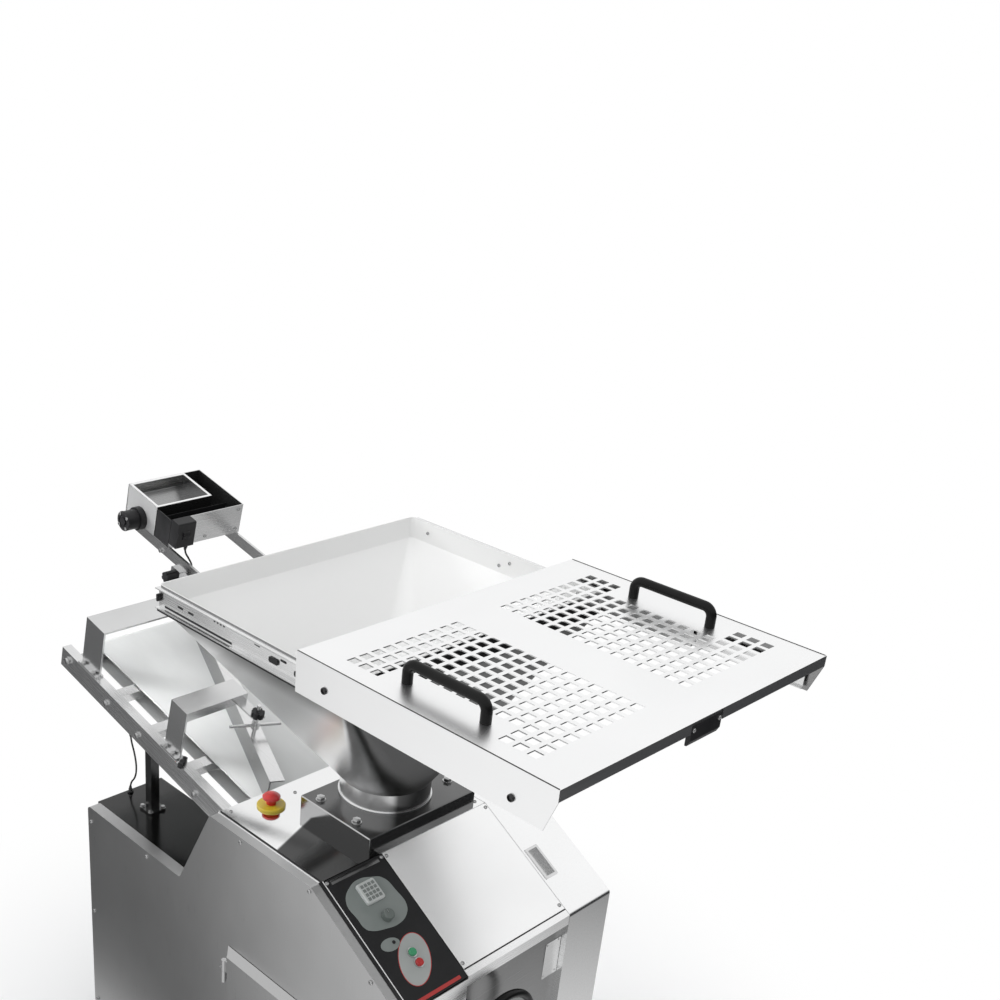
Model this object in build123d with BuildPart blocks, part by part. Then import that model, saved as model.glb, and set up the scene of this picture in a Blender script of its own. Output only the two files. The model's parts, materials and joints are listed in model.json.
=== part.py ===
from build123d import *
import os
from math import asin, atan2, cos, hypot, pi, radians, sin, tan

os.makedirs("parts", exist_ok=True)

# Volumetric dough divider, in millimetres. X runs to the operator's right, Y to the rear, Z up.
# The origin is on the floor, below the middle of the machine as it stands with its lid drawn out.

# Body
body_width = 660
sheet = 3
skirt_height = 130
deck_height = 961
knee_y = -255
slope_run = 266
slope_drop = 152
deck_rear_y = 78
rear_low_y = 189
rear_low_height = 740
rear_end_y = 575
left_cover_depth = 30
right_cover_depth = 142
cover_gap = 1
cover_corner = 12
housing_width = 190
outlet_width = 500
outlet_height = 139
outlet_drop = 16

# Frame and feet
frame_bottom = 100
frame_tube = 50
frame_drop = 10
rear_post_y = 135
gusset = 8
cover_tab = 30
foot_radius = 40
foot_pad = 16
foot_stem_radius = 10
foot_nut = 30

# Slanted front
panel_width = 165
panel_depth = 20
membrane_border = 12
membrane_thickness = 1.5
front_cover_length = 288
lip_drop = 25
front_recess = 15
pull_width = 34
pull_length = 74
pull_depth = 14
pull_lip = 3
pull_inset = 27
pull_down = 176

# Side door
door_thickness = 16
door_margin = 45
door_low = 200
door_high = 660
door_rear_y = 4
hinge_radius = 6
hinge_length = 60
hinge_inset = 70
hinge_fit = 0.05

# Operator controls, placed along the panel's middle and down the slope from the knee
display_size = 48
display_height = 8
display_down = 63
speed_knob_down = 123
speed_knob_radius = 12
speed_knob_height = 16
button_radius = 8.5
button_height = 8
button_travel = 3
bezel_width = 2
bezel_height = 4
start_down = 210
stop_down = 234
button_fit = 0.3
control_shaft_radius = 3
control_shaft_length = 12
control_fit = 0.05

# Emergency stop on the deck
estop_x = -199
estop_y = 28
estop_radius = 20
estop_head = 18
estop_neck_radius = 11
estop_rise = 28
estop_travel = 5
estop_collar_radius = 32
estop_collar_height = 6
estop_fit = 0.05

# Handwheel that sets the dough weight
handwheel_x = -55
handwheel_drop = 190
handwheel_radius = 96
handwheel_rim = 9
handwheel_stand_off = 36
hub_radius = 20
spoke_radius = 7
spoke_count = 3
spindle_radius = 10
spindle_reach = 170
spindle_fit = 0.05
stop_block = 44
stop_block_y = -400

# Hopper
hopper_y = -78
hopper_width = 736
hopper_depth = 568
hopper_wall = 3
hopper_corner = 14
hopper_height = 467
hopper_collar = 50
neck_y = -122
neck_radius = 100
neck_flat = 4
neck_height = 45
base_plate = 39
base_plate_y = -135
base_plate_width = 324
base_plate_depth = 220
base_plate_corner = 4
weld_bead = 4
feed_radius = 60
feed_y = -98

# Sliding lid
lid_width = 784
lid_length = 600
lid_rise = 33
lid_sheet = 2.5
lid_flange = 82
lid_lip = 22
lid_rear_y = -255
hole_side = 20
hole_pitch = 29.6
hole_columns = 15
hole_rows = 10
field_offset = 204
handle_columns = 9
handle_rows = 2
handle_x = 323
handle_spacing = 180
handle_height = 48
handle_bar = 10
handle_bend = 18
latch_width = 90
latch_height = 42
latch_thickness = 9
latch_barrel = 5
latch_pin = 2.5
latch_fit = 0.05
latch_gap = 2
latch_lug = 6

# Telescopic slides
slide_height = 45
slide_web = 2
slide_depth = 12
slide_play = 0.5
slide_length = 556
middle_length = 540
lid_rail_length = 550
lid_pad = 60

# Dividing mechanism
chamber_width = 220
chamber_drop = 131
chamber_front_y = -225
chamber_rear_y = 15
channel_width = 160
channel_floor = 16
piston_height = 60
piston_length = 142
knife_height = 16
knife_length = 115
knife_edge = 14
ram_face_y = -160
ram_clearance = 0.1
drum_y = 35
drum_rise = 39
drum_radius = 70
drum_length = 180
drum_gap = 0.3
drum_shaft_radius = 16
drum_shaft_length = 290
pocket_width = 110
pocket_height = 62
pocket_depth = 58
measure_depth = 20
bearing_width = 24
bearing_block = 64
bearing_inset = 4
bearing_fit = 0.05

# Drive
cam_drop = 185
cam_shaft_radius = 17.5
cam_shaft_length = 410
cam_radius = 90
cam_throw = 25
cam_thickness = 22
cam_spacing = 120
hanger_x = 192
hanger_width = 60
hanger_thickness = 20
sprocket_pitch = 19.05
large_teeth = 38
small_teeth = 19
sprocket_thickness = 10
sprocket_x = 160
tooth_height = 5
chain_width = 18
chain_height = 12
chain_gap = 0.5
gear_case = 190
gear_case_length = 150
gear_case_x = 110
gear_case_corner = 12
motor_radius = 78
motor_length = 190
output_radius = 15
output_depth = 30

# Outfeed conveyor, in its own tilted frame: along the belt, across it and off its top face
belt_tilt = 12.8
belt_y = 179
belt_drop = 68
belt_width = 284
belt_thickness = 2.5
belt_radius = 24
roller_gap = 0.3
roller_overhang = 3
tail_along = -28
drive_along = 650
rail_spacing = 424
rail_width = 25
rail_height = 55
rail_wall = 3
rail_start = -88
rail_end = 680.8
journal_radius = 8
journal_fit = 0.05
cross_tube_width = 30
cross_tube_height = 24
cross_tube_wall = 2
cross_tube_along = (150, 305, 460)
bed_start = 8
bed_end = 612
bed_thickness = 3
bed_gap = 0.5
post_along = 281
post_width = 24
bracket_width = 20
bracket_depth = 30

# Rounding guide over the belt
arm_along = 178
arm_width = 62
arm_rise = 137
arm_end_x = -32
arm_plate = 5
arm_foot = 24
tab_width = 30
tab_start = 106
tab_rise = 117
bridge_along = 528
bridge_width = 79
stem_radius = 5
stem_fit = 0.05
stem_top = 150
rod_radius = 4
rod_rise = 90
rod_length = 128
guide_clear = 3
guide_height = 60
guide_flange = 37
guide_sheet = 3
guide_front_x = -121
guide_front_along = -39
guide_rear_x = 119
guide_rear_along = 588
stem_front = 170
stem_rear = 642
stem_inset = 12
guide_knob_radius = 16
guide_knob_height = 15

# Flour duster, tilted like the conveyor and measured from the top of its front edge
duster_y = 526
duster_drop = 11
duster_width = 210
duster_length = 183
duster_height = 78
duster_sheet = 2
bin_width = 160
bin_start = 62
bin_straight = 30
bin_drop = 48
bin_mouth = 24
dust_roller_radius = 10.5
dust_gap = 1
dust_shaft_radius = 5
dust_fit = 0.05
dust_motor_radius = 28
dust_motor_length = 46
dust_coupling = 12
arm_spacing = 196
arm_thickness = 6
arm_height = 28
clamp_along = -45
clamp_length = 34
clamp_width = 26
clamp_drop = 34
clamp_knob_radius = 13
clamp_knob_length = 28
clamp_stem_radius = 4
switch_width = 50
switch_height = 66
switch_depth = 30
switch_left = 2
switch_rise = 4
rocker_radius = 13
rocker_width = 18
rocker_gap = 0.4
rocker_inset = 8

# Cables
cable_radius = 2.25
gland_radius = 5
gland_length = 10
cable_rail_y = 557
cable_housing_y = 563

corner = (Align.MIN, Align.MIN, Align.MIN)
on_face = (Align.CENTER, Align.CENTER, Align.MIN)

body_half = body_width / 2
front_y = knee_y - slope_run
front_top = deck_height - slope_drop
slope_tilt = atan2(slope_drop, slope_run)
slope_length = hypot(slope_run, slope_drop)
left_inner = -body_half + left_cover_depth
right_inner = body_half - right_cover_depth
deck_left = left_inner + cover_gap
deck_right = right_inner - cover_gap
panel_right = left_inner + panel_width
front_panel_y = front_y + front_recess
frame_top = rear_low_height - frame_drop
outlet_high = deck_height - outlet_drop
outlet_low = outlet_high - outlet_height
base_plate_top = deck_height + base_plate
hopper_top = base_plate_top + hopper_height
lid_top = hopper_top + lid_rise
chamber_bottom = deck_height - chamber_drop
channel_low = chamber_bottom + channel_floor
drum_z = channel_low + drum_rise
handwheel_z = chamber_bottom - handwheel_drop
cam_z = frame_top - cam_drop
belt_z = deck_height - belt_drop
duster_z = hopper_top - duster_drop
belt_cos = cos(radians(belt_tilt))
belt_sin = sin(radians(belt_tilt))


def save(part, name):
    part.label = name
    export_step(part, f"parts/{name}.step")


def block(low, high, mode=Mode.ADD):
    size = [top - bottom for bottom, top in zip(low, high)]
    with Locations(low):
        Box(*size, align=corner, mode=mode)


# Plane on the slanted front: local X across, local Y up the slope, Z off its face
def slope_plane(x=0, down=0, out=0):
    y = knee_y - down * cos(slope_tilt) - out * sin(slope_tilt)
    z = deck_height - down * sin(slope_tilt) + out * cos(slope_tilt)
    return Plane(origin=(x, y, z), x_dir=(1, 0, 0), z_dir=(0, -sin(slope_tilt), cos(slope_tilt)))


def tilted(origin_y, origin_z, x, along, out):
    y = origin_y + along * belt_cos - out * belt_sin
    z = origin_z + along * belt_sin + out * belt_cos
    return (x, y, z)


def belt_point(x=0, along=0, out=0):
    return tilted(belt_y, belt_z, x, along, out)


def duster_point(x=0, along=0, out=0):
    return tilted(duster_y, duster_z, x, along, out)


# Plane that lies along the belt: local X across, local Y along, Z off the belt
def face_plane(origin):
    return Plane(origin=origin, x_dir=(1, 0, 0), z_dir=(0, -belt_sin, belt_cos))


# Plane beside the belt: local X along, local Y off the belt, Z across
def side_plane(origin):
    return Plane(origin=origin, x_dir=(0, belt_cos, belt_sin), z_dir=(1, 0, 0))


# Plane square to the belt's run: local X across, local Y off the belt, Z back along the belt
def end_plane(origin):
    return Plane(origin=origin, x_dir=(1, 0, 0), z_dir=(0, -belt_cos, -belt_sin))


slope_out = Axis((0, 0, 0), (0, -sin(slope_tilt), cos(slope_tilt)))

# Levelling feet
post_half = frame_tube / 2
foot_x = -deck_left - post_half
front_post_y = front_panel_y + sheet + post_half
foot_places = [(x, y) for x in (-foot_x, foot_x) for y in (front_post_y, rear_post_y)]

with BuildPart() as levelling_feet:
    with Locations(*foot_places):
        Cylinder(foot_radius, foot_pad, align=on_face)
    chamfer(levelling_feet.edges().group_by(Axis.Z)[-1], foot_pad / 3)
    with Locations(*foot_places):
        Cylinder(foot_stem_radius, frame_bottom, align=on_face)
    with BuildSketch(Plane.XY.offset(frame_bottom)):
        with Locations(*foot_places):
            RegularPolygon(foot_nut / 2, 6)
    extrude(amount=-foot_stem_radius)
save(levelling_feet.part, "levelling_feet")

# Welded frame: posts, sills, top rails, bearers, gussets under the panels and conveyor brackets
chamber_top = deck_height - sheet
cam_y = chamber_front_y + post_half + bearing_inset
rear_bearer_y = drum_y - drum_radius - post_half
bearing_x = chamber_width / 2 + bearing_inset
motor_z = frame_bottom + frame_tube + gear_case / 2
motor_bearers = (cam_y - gear_case / 2 + post_half, cam_y + gear_case / 2 - post_half)
rail_under = belt_point(0, 0, -rail_height)
panel_under = slope_plane(0, 0, -panel_depth).origin
gusset_x = (deck_left, panel_right - gusset / 2, deck_right - gusset)
bracket_y = rear_post_y - post_half


def rail_underside(y):
    return rail_under[2] + (y - rail_under[1]) * belt_sin / belt_cos


def panel_underside(y):
    return panel_under.Z + (y - panel_under.Y) * tan(slope_tilt)


with BuildPart() as base_frame:
    for x, y in foot_places:
        block(
            (x - post_half, y - post_half, frame_bottom),
            (x + post_half, y + post_half, frame_top),
        )
    for x in (-foot_x, foot_x):
        for low in (frame_bottom, frame_top - frame_tube):
            block(
                (x - post_half, front_post_y, low),
                (x + post_half, rear_post_y, low + frame_tube),
            )
    top_beams = [(y, frame_top) for y in (front_post_y, cam_y, rear_bearer_y, drum_y, rear_post_y)]
    sill_beams = [(y, frame_bottom + frame_tube) for y in (front_post_y, rear_post_y) + motor_bearers]
    for y, top in top_beams + sill_beams:
        block((-foot_x, y - post_half, top - frame_tube), (foot_x, y + post_half, top))
    for y in (cam_y, rear_bearer_y):
        block(
            (-chamber_width / 2, y - post_half, frame_top),
            (chamber_width / 2, y + post_half, chamber_bottom),
        )
    for x in (-bearing_x - bearing_width, bearing_x):
        block(
            (x, drum_y - post_half, frame_top),
            (x + bearing_width, drum_y + post_half, drum_z - bearing_block / 2),
        )
    for x in gusset_x:
        inner = x == gusset_x[1]
        last_y = chamber_front_y - frame_tube if inner else deck_rear_y - cover_corner
        with BuildSketch(Plane.YZ.offset(x)):
            if inner:
                Polygon(
                    (front_post_y - post_half, frame_top),
                    (last_y, frame_top),
                    (last_y, panel_underside(last_y)),
                    (front_post_y - post_half, panel_underside(front_post_y - post_half)),
                    align=None,
                )
            else:
                Polygon(
                    (front_post_y - post_half, frame_top),
                    (last_y, frame_top),
                    (last_y, deck_height - sheet),
                    (panel_under.Y + sheet, deck_height - sheet),
                    (panel_under.Y + sheet, panel_under.Z),
                    (panel_under.Y, panel_under.Z),
                    (front_post_y - post_half, panel_underside(front_post_y - post_half)),
                    align=None,
                )
        extrude(amount=gusset)
    for side in (-1, 1):
        with BuildSketch(Plane.YZ.offset(side * rail_spacing / 2 - bracket_width / 2)):
            Polygon(
                (bracket_y, frame_top),
                (bracket_y + bracket_depth, frame_top),
                (bracket_y + bracket_depth, rail_underside(bracket_y + bracket_depth)),
                (bracket_y, rail_underside(bracket_y)),
                align=None,
            )
        extrude(amount=bracket_width)
    tab_half = cover_tab / 2
    for y in (front_post_y, rear_post_y):
        for z in (frame_top / 3, frame_top * 2 / 3):
            block(
                (-body_half + sheet, y - tab_half, z - tab_half),
                (-foot_x, y + tab_half, z + tab_half),
            )
            block(
                (foot_x, y - tab_half, z - tab_half),
                (body_half - sheet, y + tab_half, z + tab_half),
            )
    for x in (-chamber_width / 2, chamber_width / 2):
        block(
            (x - tab_half, rear_post_y, frame_top - cover_tab),
            (x + tab_half, rear_low_y - sheet, frame_top),
        )
save(base_frame.part, "base_frame")

# Side covers: folded pans, open on their inner side and below
front_profile = [
    (front_y, skirt_height),
    (front_y, front_top),
    (knee_y, deck_height),
    (deck_rear_y, deck_height),
    (rear_low_y, rear_low_height),
]
left_profile = front_profile + [(rear_end_y, rear_low_height), (rear_end_y, skirt_height)]
right_profile = front_profile + [(rear_low_y, skirt_height)]
hinge_heights = (door_low + hinge_inset, door_high - hinge_inset)
hinge_x = -body_half - hinge_radius - cover_gap
hinge_y = door_rear_y + hinge_radius + cover_gap

with BuildPart() as left_side_cover:
    with BuildSketch(Plane.YZ.offset(-body_half)) as left_outline:
        Polygon(*left_profile, align=None)
        fillet(left_outline.vertices().sort_by(Axis.Y)[2:], cover_corner)
    extrude(amount=left_cover_depth)
    left_openings = [
        left_side_cover.faces().sort_by(Axis.X)[-1],
        left_side_cover.faces().sort_by(Axis.Z)[0],
    ]
    offset(amount=-sheet, openings=left_openings)
    for z in hinge_heights:
        with Locations((hinge_x, hinge_y, z - hinge_length / 2)):
            Cylinder(hinge_radius, hinge_length / 2 - button_fit, align=on_face)
        block(
            (hinge_x, hinge_y, z - hinge_length / 2),
            (-body_half, hinge_y + 3 * hinge_radius, z - button_fit),
        )
        with Locations((hinge_x, hinge_y, z - hinge_length / 2)):
            Cylinder(
                hinge_radius / 2 + hinge_fit,
                hinge_length / 2,
                align=on_face,
                mode=Mode.SUBTRACT,
            )
save(left_side_cover.part, "left_side_cover")

pull_x = right_inner + pull_inset

with BuildPart() as right_side_cover:
    with BuildSketch(Plane.YZ.offset(right_inner)) as right_outline:
        Polygon(*right_profile, align=None)
        fillet(right_outline.vertices().sort_by(Axis.Y)[2:], cover_corner)
    extrude(amount=right_cover_depth)
    right_openings = [
        right_side_cover.faces().sort_by(Axis.X)[0],
        right_side_cover.faces().sort_by(Axis.Z)[0],
    ]
    offset(amount=-sheet, openings=right_openings)
    block(
        (right_inner - cover_gap, deck_rear_y - cover_corner, outlet_low),
        (outlet_width / 2, rear_low_y + cover_gap, outlet_high),
        mode=Mode.SUBTRACT,
    )
    block(
        (right_inner, front_y, skirt_height),
        (right_inner + sheet, front_panel_y + sheet, front_top - lip_drop),
    )
    with BuildSketch(slope_plane(pull_x, pull_down)):
        Rectangle(pull_width, pull_length)
    extrude(amount=-2 * sheet, mode=Mode.SUBTRACT)
save(right_side_cover.part, "right_side_cover")

with BuildPart() as flush_pull:
    with BuildSketch(slope_plane(pull_x, pull_down)):
        RectangleRounded(pull_width + 2 * pull_lip, pull_length + 2 * pull_lip, pull_lip)
    extrude(amount=pull_lip / 2)
    with BuildSketch(slope_plane(pull_x, pull_down)):
        Rectangle(pull_width - 2 * button_fit, pull_length - 2 * button_fit)
    extrude(amount=-pull_depth)
    with BuildSketch(slope_plane(pull_x, pull_down, pull_lip / 2)):
        Rectangle(pull_width - 2 * pull_lip, pull_length - 2 * pull_lip)
    extrude(amount=-pull_depth, mode=Mode.SUBTRACT)
save(flush_pull.part, "flush_pull")

# Polished deck between the covers, with the feed opening below the hopper
with BuildPart() as deck_plate:
    with BuildSketch(Plane.XY.offset(deck_height - sheet)):
        Polygon(
            (deck_left, knee_y + cover_gap),
            (deck_right, knee_y + cover_gap),
            (deck_right, deck_rear_y),
            (deck_left, deck_rear_y),
            align=None,
        )
        with Locations((0, feed_y)):
            Circle(feed_radius, mode=Mode.SUBTRACT)
        with Locations((estop_x, estop_y)):
            Circle(estop_neck_radius + button_fit, mode=Mode.SUBTRACT)
    extrude(amount=sheet)
save(deck_plate.part, "deck_plate")

# Rear wall below the deck, with the outlet for the belt, and the low housing beside the left cover
housing_right = left_inner + housing_width
wall_run = rear_low_y - deck_rear_y
wall_drop = deck_height - rear_low_height
wall_shift = sheet * hypot(wall_run, wall_drop) / wall_drop
wall_top = deck_height - sheet - cover_gap

with BuildPart() as rear_body:
    with BuildSketch(Plane.YZ.offset(deck_left)):
        Polygon(
            (deck_rear_y + sheet * wall_run / wall_drop, wall_top),
            (rear_low_y, rear_low_height),
            (rear_low_y, skirt_height),
            (rear_low_y - sheet, skirt_height),
            (rear_low_y - sheet, rear_low_height - sheet / 2),
            (deck_rear_y + sheet * wall_run / wall_drop - wall_shift, wall_top),
            align=None,
        )
    extrude(amount=deck_right - deck_left)
    block(
        (-outlet_width / 2, deck_rear_y - cover_corner, outlet_low),
        (deck_right + cover_gap, rear_low_y + cover_gap, outlet_high),
        mode=Mode.SUBTRACT,
    )
    block(
        (left_inner, rear_low_y, skirt_height),
        (housing_right, rear_end_y, rear_low_height),
    )
    block(
        (left_inner - sheet, rear_low_y, skirt_height - sheet),
        (housing_right - sheet, rear_end_y - sheet, rear_low_height - sheet),
        mode=Mode.SUBTRACT,
    )
    with Locations((-rail_spacing / 2, cable_housing_y, rear_low_height)):
        Cylinder(gland_radius, gland_length, align=on_face)
save(rear_body.part, "rear_body")

# Slanted control panel with its membrane and controls
panel_middle = (left_inner + panel_right) / 2
panel_face = panel_width - 2 * cover_gap
panel_run = slope_length - 2 * cover_gap
membrane_width = panel_face - 2 * membrane_border
membrane_length = panel_run - 2 * membrane_border
control_places = (speed_knob_down, start_down, stop_down)

with BuildPart() as control_panel:
    with BuildSketch(slope_plane(panel_middle, slope_length / 2)):
        Rectangle(panel_face, panel_run)
    extrude(amount=-panel_depth)
    offset(amount=-sheet, openings=control_panel.faces().sort_by(slope_out)[0])
    with BuildSketch(slope_plane(panel_middle, slope_length / 2)):
        RectangleRounded(membrane_width, membrane_length, membrane_border / 2)
    extrude(amount=-membrane_thickness, mode=Mode.SUBTRACT)
    for down in control_places:
        with BuildSketch(slope_plane(panel_middle, down)):
            Circle(control_shaft_radius + control_fit)
        extrude(amount=-2 * sheet, mode=Mode.SUBTRACT)
save(control_panel.part, "control_panel")

with BuildPart() as panel_membrane:
    with BuildSketch(slope_plane(panel_middle, slope_length / 2, -membrane_thickness)):
        RectangleRounded(membrane_width, membrane_length, membrane_border / 2)
    extrude(amount=membrane_thickness)
    for down in control_places:
        with BuildSketch(slope_plane(panel_middle, down, -membrane_thickness)):
            Circle(control_shaft_radius + control_fit)
        extrude(amount=2 * membrane_thickness, mode=Mode.SUBTRACT)
save(panel_membrane.part, "panel_membrane")

with BuildPart() as display_unit:
    with BuildSketch(slope_plane(panel_middle, display_down)):
        RectangleRounded(display_size, display_size, display_size / 10)
    extrude(amount=display_height)
    chamfer(display_unit.faces().sort_by(slope_out)[-1].edges(), display_height / 4)
save(display_unit.part, "display_unit")

with BuildPart() as speed_knob:
    with BuildSketch(slope_plane(panel_middle, speed_knob_down, button_fit)):
        Circle(speed_knob_radius)
    extrude(amount=speed_knob_height)
    chamfer(speed_knob.faces().sort_by(slope_out)[-1].edges(), speed_knob_height / 10)
    with BuildSketch(slope_plane(panel_middle, speed_knob_down, button_fit + speed_knob_height)):
        with Locations((0, speed_knob_radius / 2)):
            Rectangle(speed_knob_radius / 8, speed_knob_radius / 2)
    extrude(amount=-speed_knob_height / 12, mode=Mode.SUBTRACT)
    with BuildSketch(slope_plane(panel_middle, speed_knob_down, button_fit)):
        Circle(control_shaft_radius)
    extrude(amount=-control_shaft_length)
save(speed_knob.part, "speed_knob")

with BuildPart() as button_bezels:
    for down in (start_down, stop_down):
        with BuildSketch(slope_plane(panel_middle, down)):
            Circle(button_radius + button_fit + bezel_width)
            Circle(button_radius + button_fit, mode=Mode.SUBTRACT)
        extrude(amount=bezel_height)
save(button_bezels.part, "button_bezels")

for name, down in (("start_button", start_down), ("stop_button", stop_down)):
    with BuildPart() as button:
        with BuildSketch(slope_plane(panel_middle, down, button_travel + button_fit)):
            Circle(button_radius)
        extrude(amount=button_height - button_travel)
        chamfer(button.faces().sort_by(slope_out)[-1].edges(), button_height / 8)
        with BuildSketch(slope_plane(panel_middle, down, button_travel + button_fit)):
            Circle(control_shaft_radius)
        extrude(amount=-control_shaft_length)
    save(button.part, name)

# Slanted front cover and the front frame around it
cover_width = right_inner - panel_right - 2 * cover_gap
cover_middle = (right_inner + panel_right) / 2

with BuildPart() as front_cover:
    with BuildSketch(slope_plane(cover_middle, cover_gap + front_cover_length / 2)):
        Rectangle(cover_width, front_cover_length)
    extrude(amount=-panel_depth)
    offset(amount=-sheet, openings=front_cover.faces().sort_by(slope_out)[0])
save(front_cover.part, "front_cover")

lip_down = front_cover_length + 2 * cover_gap
lip_start = slope_plane(0, lip_down).origin
lip_inner = slope_plane(0, lip_down, -sheet).origin
lip_low = front_top - lip_drop
lip_corner = sheet * tan((pi / 2 - slope_tilt) / 2)

with BuildPart() as front_frame:
    with BuildSketch(Plane.YZ.offset(panel_right)):
        Polygon(
            (lip_start.Y, lip_start.Z),
            (front_y, front_top),
            (front_y, lip_low),
            (front_panel_y + sheet, lip_low),
            (front_panel_y + sheet, lip_low + sheet),
            (front_y + sheet, lip_low + sheet),
            (front_y + sheet, front_top - lip_corner),
            (lip_inner.Y, lip_inner.Z),
            align=None,
        )
    extrude(amount=cover_width + cover_gap)
    block(
        (deck_left, front_y, skirt_height),
        (panel_right, front_y + sheet, front_top - 2 * sheet),
    )
    block(
        (panel_right - sheet, front_y, skirt_height),
        (panel_right, front_panel_y + sheet, lip_low + sheet),
    )
save(front_frame.part, "front_frame")

with BuildPart() as front_panel:
    with BuildSketch(Plane.XZ.offset(-front_panel_y)):
        Polygon(
            (panel_right, skirt_height),
            (right_inner, skirt_height),
            (right_inner, lip_low),
            (panel_right, lip_low),
            align=None,
        )
        with Locations((handwheel_x, handwheel_z)):
            Circle(spindle_radius + spindle_fit, mode=Mode.SUBTRACT)
    extrude(amount=-sheet)
save(front_panel.part, "front_panel")

# Hinged door, raised off the left cover with a bevelled edge
door_front_y = front_y + door_margin

with BuildPart() as side_door:
    with BuildSketch(Plane.YZ.offset(-body_half - cover_gap)):
        Polygon(
            (door_front_y, door_low),
            (door_rear_y, door_low),
            (door_rear_y, door_high),
            (door_front_y, door_high),
            align=None,
        )
    extrude(amount=-door_thickness, taper=45)
    offset(amount=-sheet, openings=side_door.faces().sort_by(Axis.X)[-1])
    for z in hinge_heights:
        with Locations((hinge_x, hinge_y, z)):
            Cylinder(hinge_radius, hinge_length / 2, align=on_face)
        block(
            (hinge_x - sheet / 2, door_rear_y - 2 * hinge_radius, z),
            (hinge_x + sheet / 2, hinge_y, z + hinge_length / 2),
        )
    for z in hinge_heights:
        with Locations((hinge_x, hinge_y, z - hinge_length / 2)):
            Cylinder(hinge_radius / 2, hinge_length, align=on_face)
save(side_door.part, "side_door")

# Emergency stop
with BuildPart() as estop_collar:
    with BuildSketch(Plane.XY.offset(deck_height)):
        with Locations((estop_x, estop_y)):
            Circle(estop_collar_radius)
    extrude(amount=estop_collar_height)
    chamfer(estop_collar.edges().group_by(Axis.Z)[-1], estop_collar_height / 3)
    with BuildSketch(Plane.XY.offset(deck_height)):
        with Locations((estop_x, estop_y)):
            Circle(estop_neck_radius + estop_fit)
    extrude(amount=estop_collar_height, mode=Mode.SUBTRACT)
save(estop_collar.part, "estop_collar")

estop_top = deck_height + estop_collar_height + estop_rise
estop_under = estop_top - estop_head
dome_rise = estop_head / 2
dome_radius = (estop_radius**2 + dome_rise**2) / (2 * dome_rise)
dome_half = asin(estop_radius / dome_radius) / 2

with BuildPart() as emergency_stop:
    with BuildSketch(Plane.XZ.offset(-estop_y)):
        with BuildLine():
            Polyline(
                (estop_x, estop_top),
                (estop_x, deck_height - sheet),
                (estop_x + estop_neck_radius, deck_height - sheet),
                (estop_x + estop_neck_radius, estop_under),
                (estop_x + estop_radius, estop_under + estop_head / 4),
                (estop_x + estop_radius, estop_top - dome_rise),
            )
            ThreePointArc(
                (estop_x + estop_radius, estop_top - dome_rise),
                (estop_x + dome_radius * sin(dome_half), estop_top - dome_radius * (1 - cos(dome_half))),
                (estop_x, estop_top),
            )
        make_face()
    revolve(axis=Axis((estop_x, estop_y, 0), (0, 0, 1)))
save(emergency_stop.part, "emergency_stop")

# Handwheel on its spindle, and the stop block that the spindle moves
rim_y = front_y - handwheel_stand_off

with BuildPart() as handwheel:
    with BuildSketch(Plane.XY.offset(handwheel_z)):
        with Locations((handwheel_x + handwheel_radius, rim_y)):
            Circle(handwheel_rim)
    revolve(axis=Axis((handwheel_x, rim_y, handwheel_z), (0, 1, 0)))
    with BuildSketch(Plane.XZ.offset(-rim_y + handwheel_rim)):
        with Locations((handwheel_x, handwheel_z)):
            Circle(hub_radius)
    extrude(amount=-3 * handwheel_rim)
    for turn in range(spoke_count):
        angle = radians(90 + turn * 360 / spoke_count)
        spoke = Plane(
            origin=(handwheel_x, rim_y, handwheel_z),
            x_dir=(0, 1, 0),
            z_dir=(cos(angle), 0, sin(angle)),
        )
        with BuildSketch(spoke):
            Circle(spoke_radius)
        extrude(amount=handwheel_radius)
    with BuildSketch(Plane.XZ.offset(-rim_y)):
        with Locations((handwheel_x, handwheel_z)):
            Circle(spindle_radius)
    extrude(amount=-handwheel_stand_off - front_recess - spindle_reach)
save(handwheel.part, "handwheel")

with BuildPart() as weight_stop:
    with BuildSketch(Plane.XZ.offset(-stop_block_y)):
        with Locations((handwheel_x, handwheel_z)):
            RectangleRounded(stop_block, stop_block, stop_block / 8)
            Circle(spindle_radius + spindle_fit, mode=Mode.SUBTRACT)
    extrude(amount=-stop_block / 2)
save(weight_stop.part, "weight_stop")

# Hopper: collar, then a rectangle-to-round funnel and a short neck onto a thick base plate
collar_low = hopper_top - hopper_collar
neck_side = 2 * neck_radius
neck_corner = neck_radius - neck_flat / 2
inner_neck_side = neck_side - 2 * hopper_wall
inner_neck_corner = neck_corner - hopper_wall
funnel_low = base_plate_top + neck_height
neck_plane = Plane.XY.offset(base_plate_top).move(Location((0, neck_y, 0)))
funnel_plane = neck_plane.offset(neck_height)
collar_plane = Plane.XY.offset(collar_low).move(Location((0, hopper_y, 0)))

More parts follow.
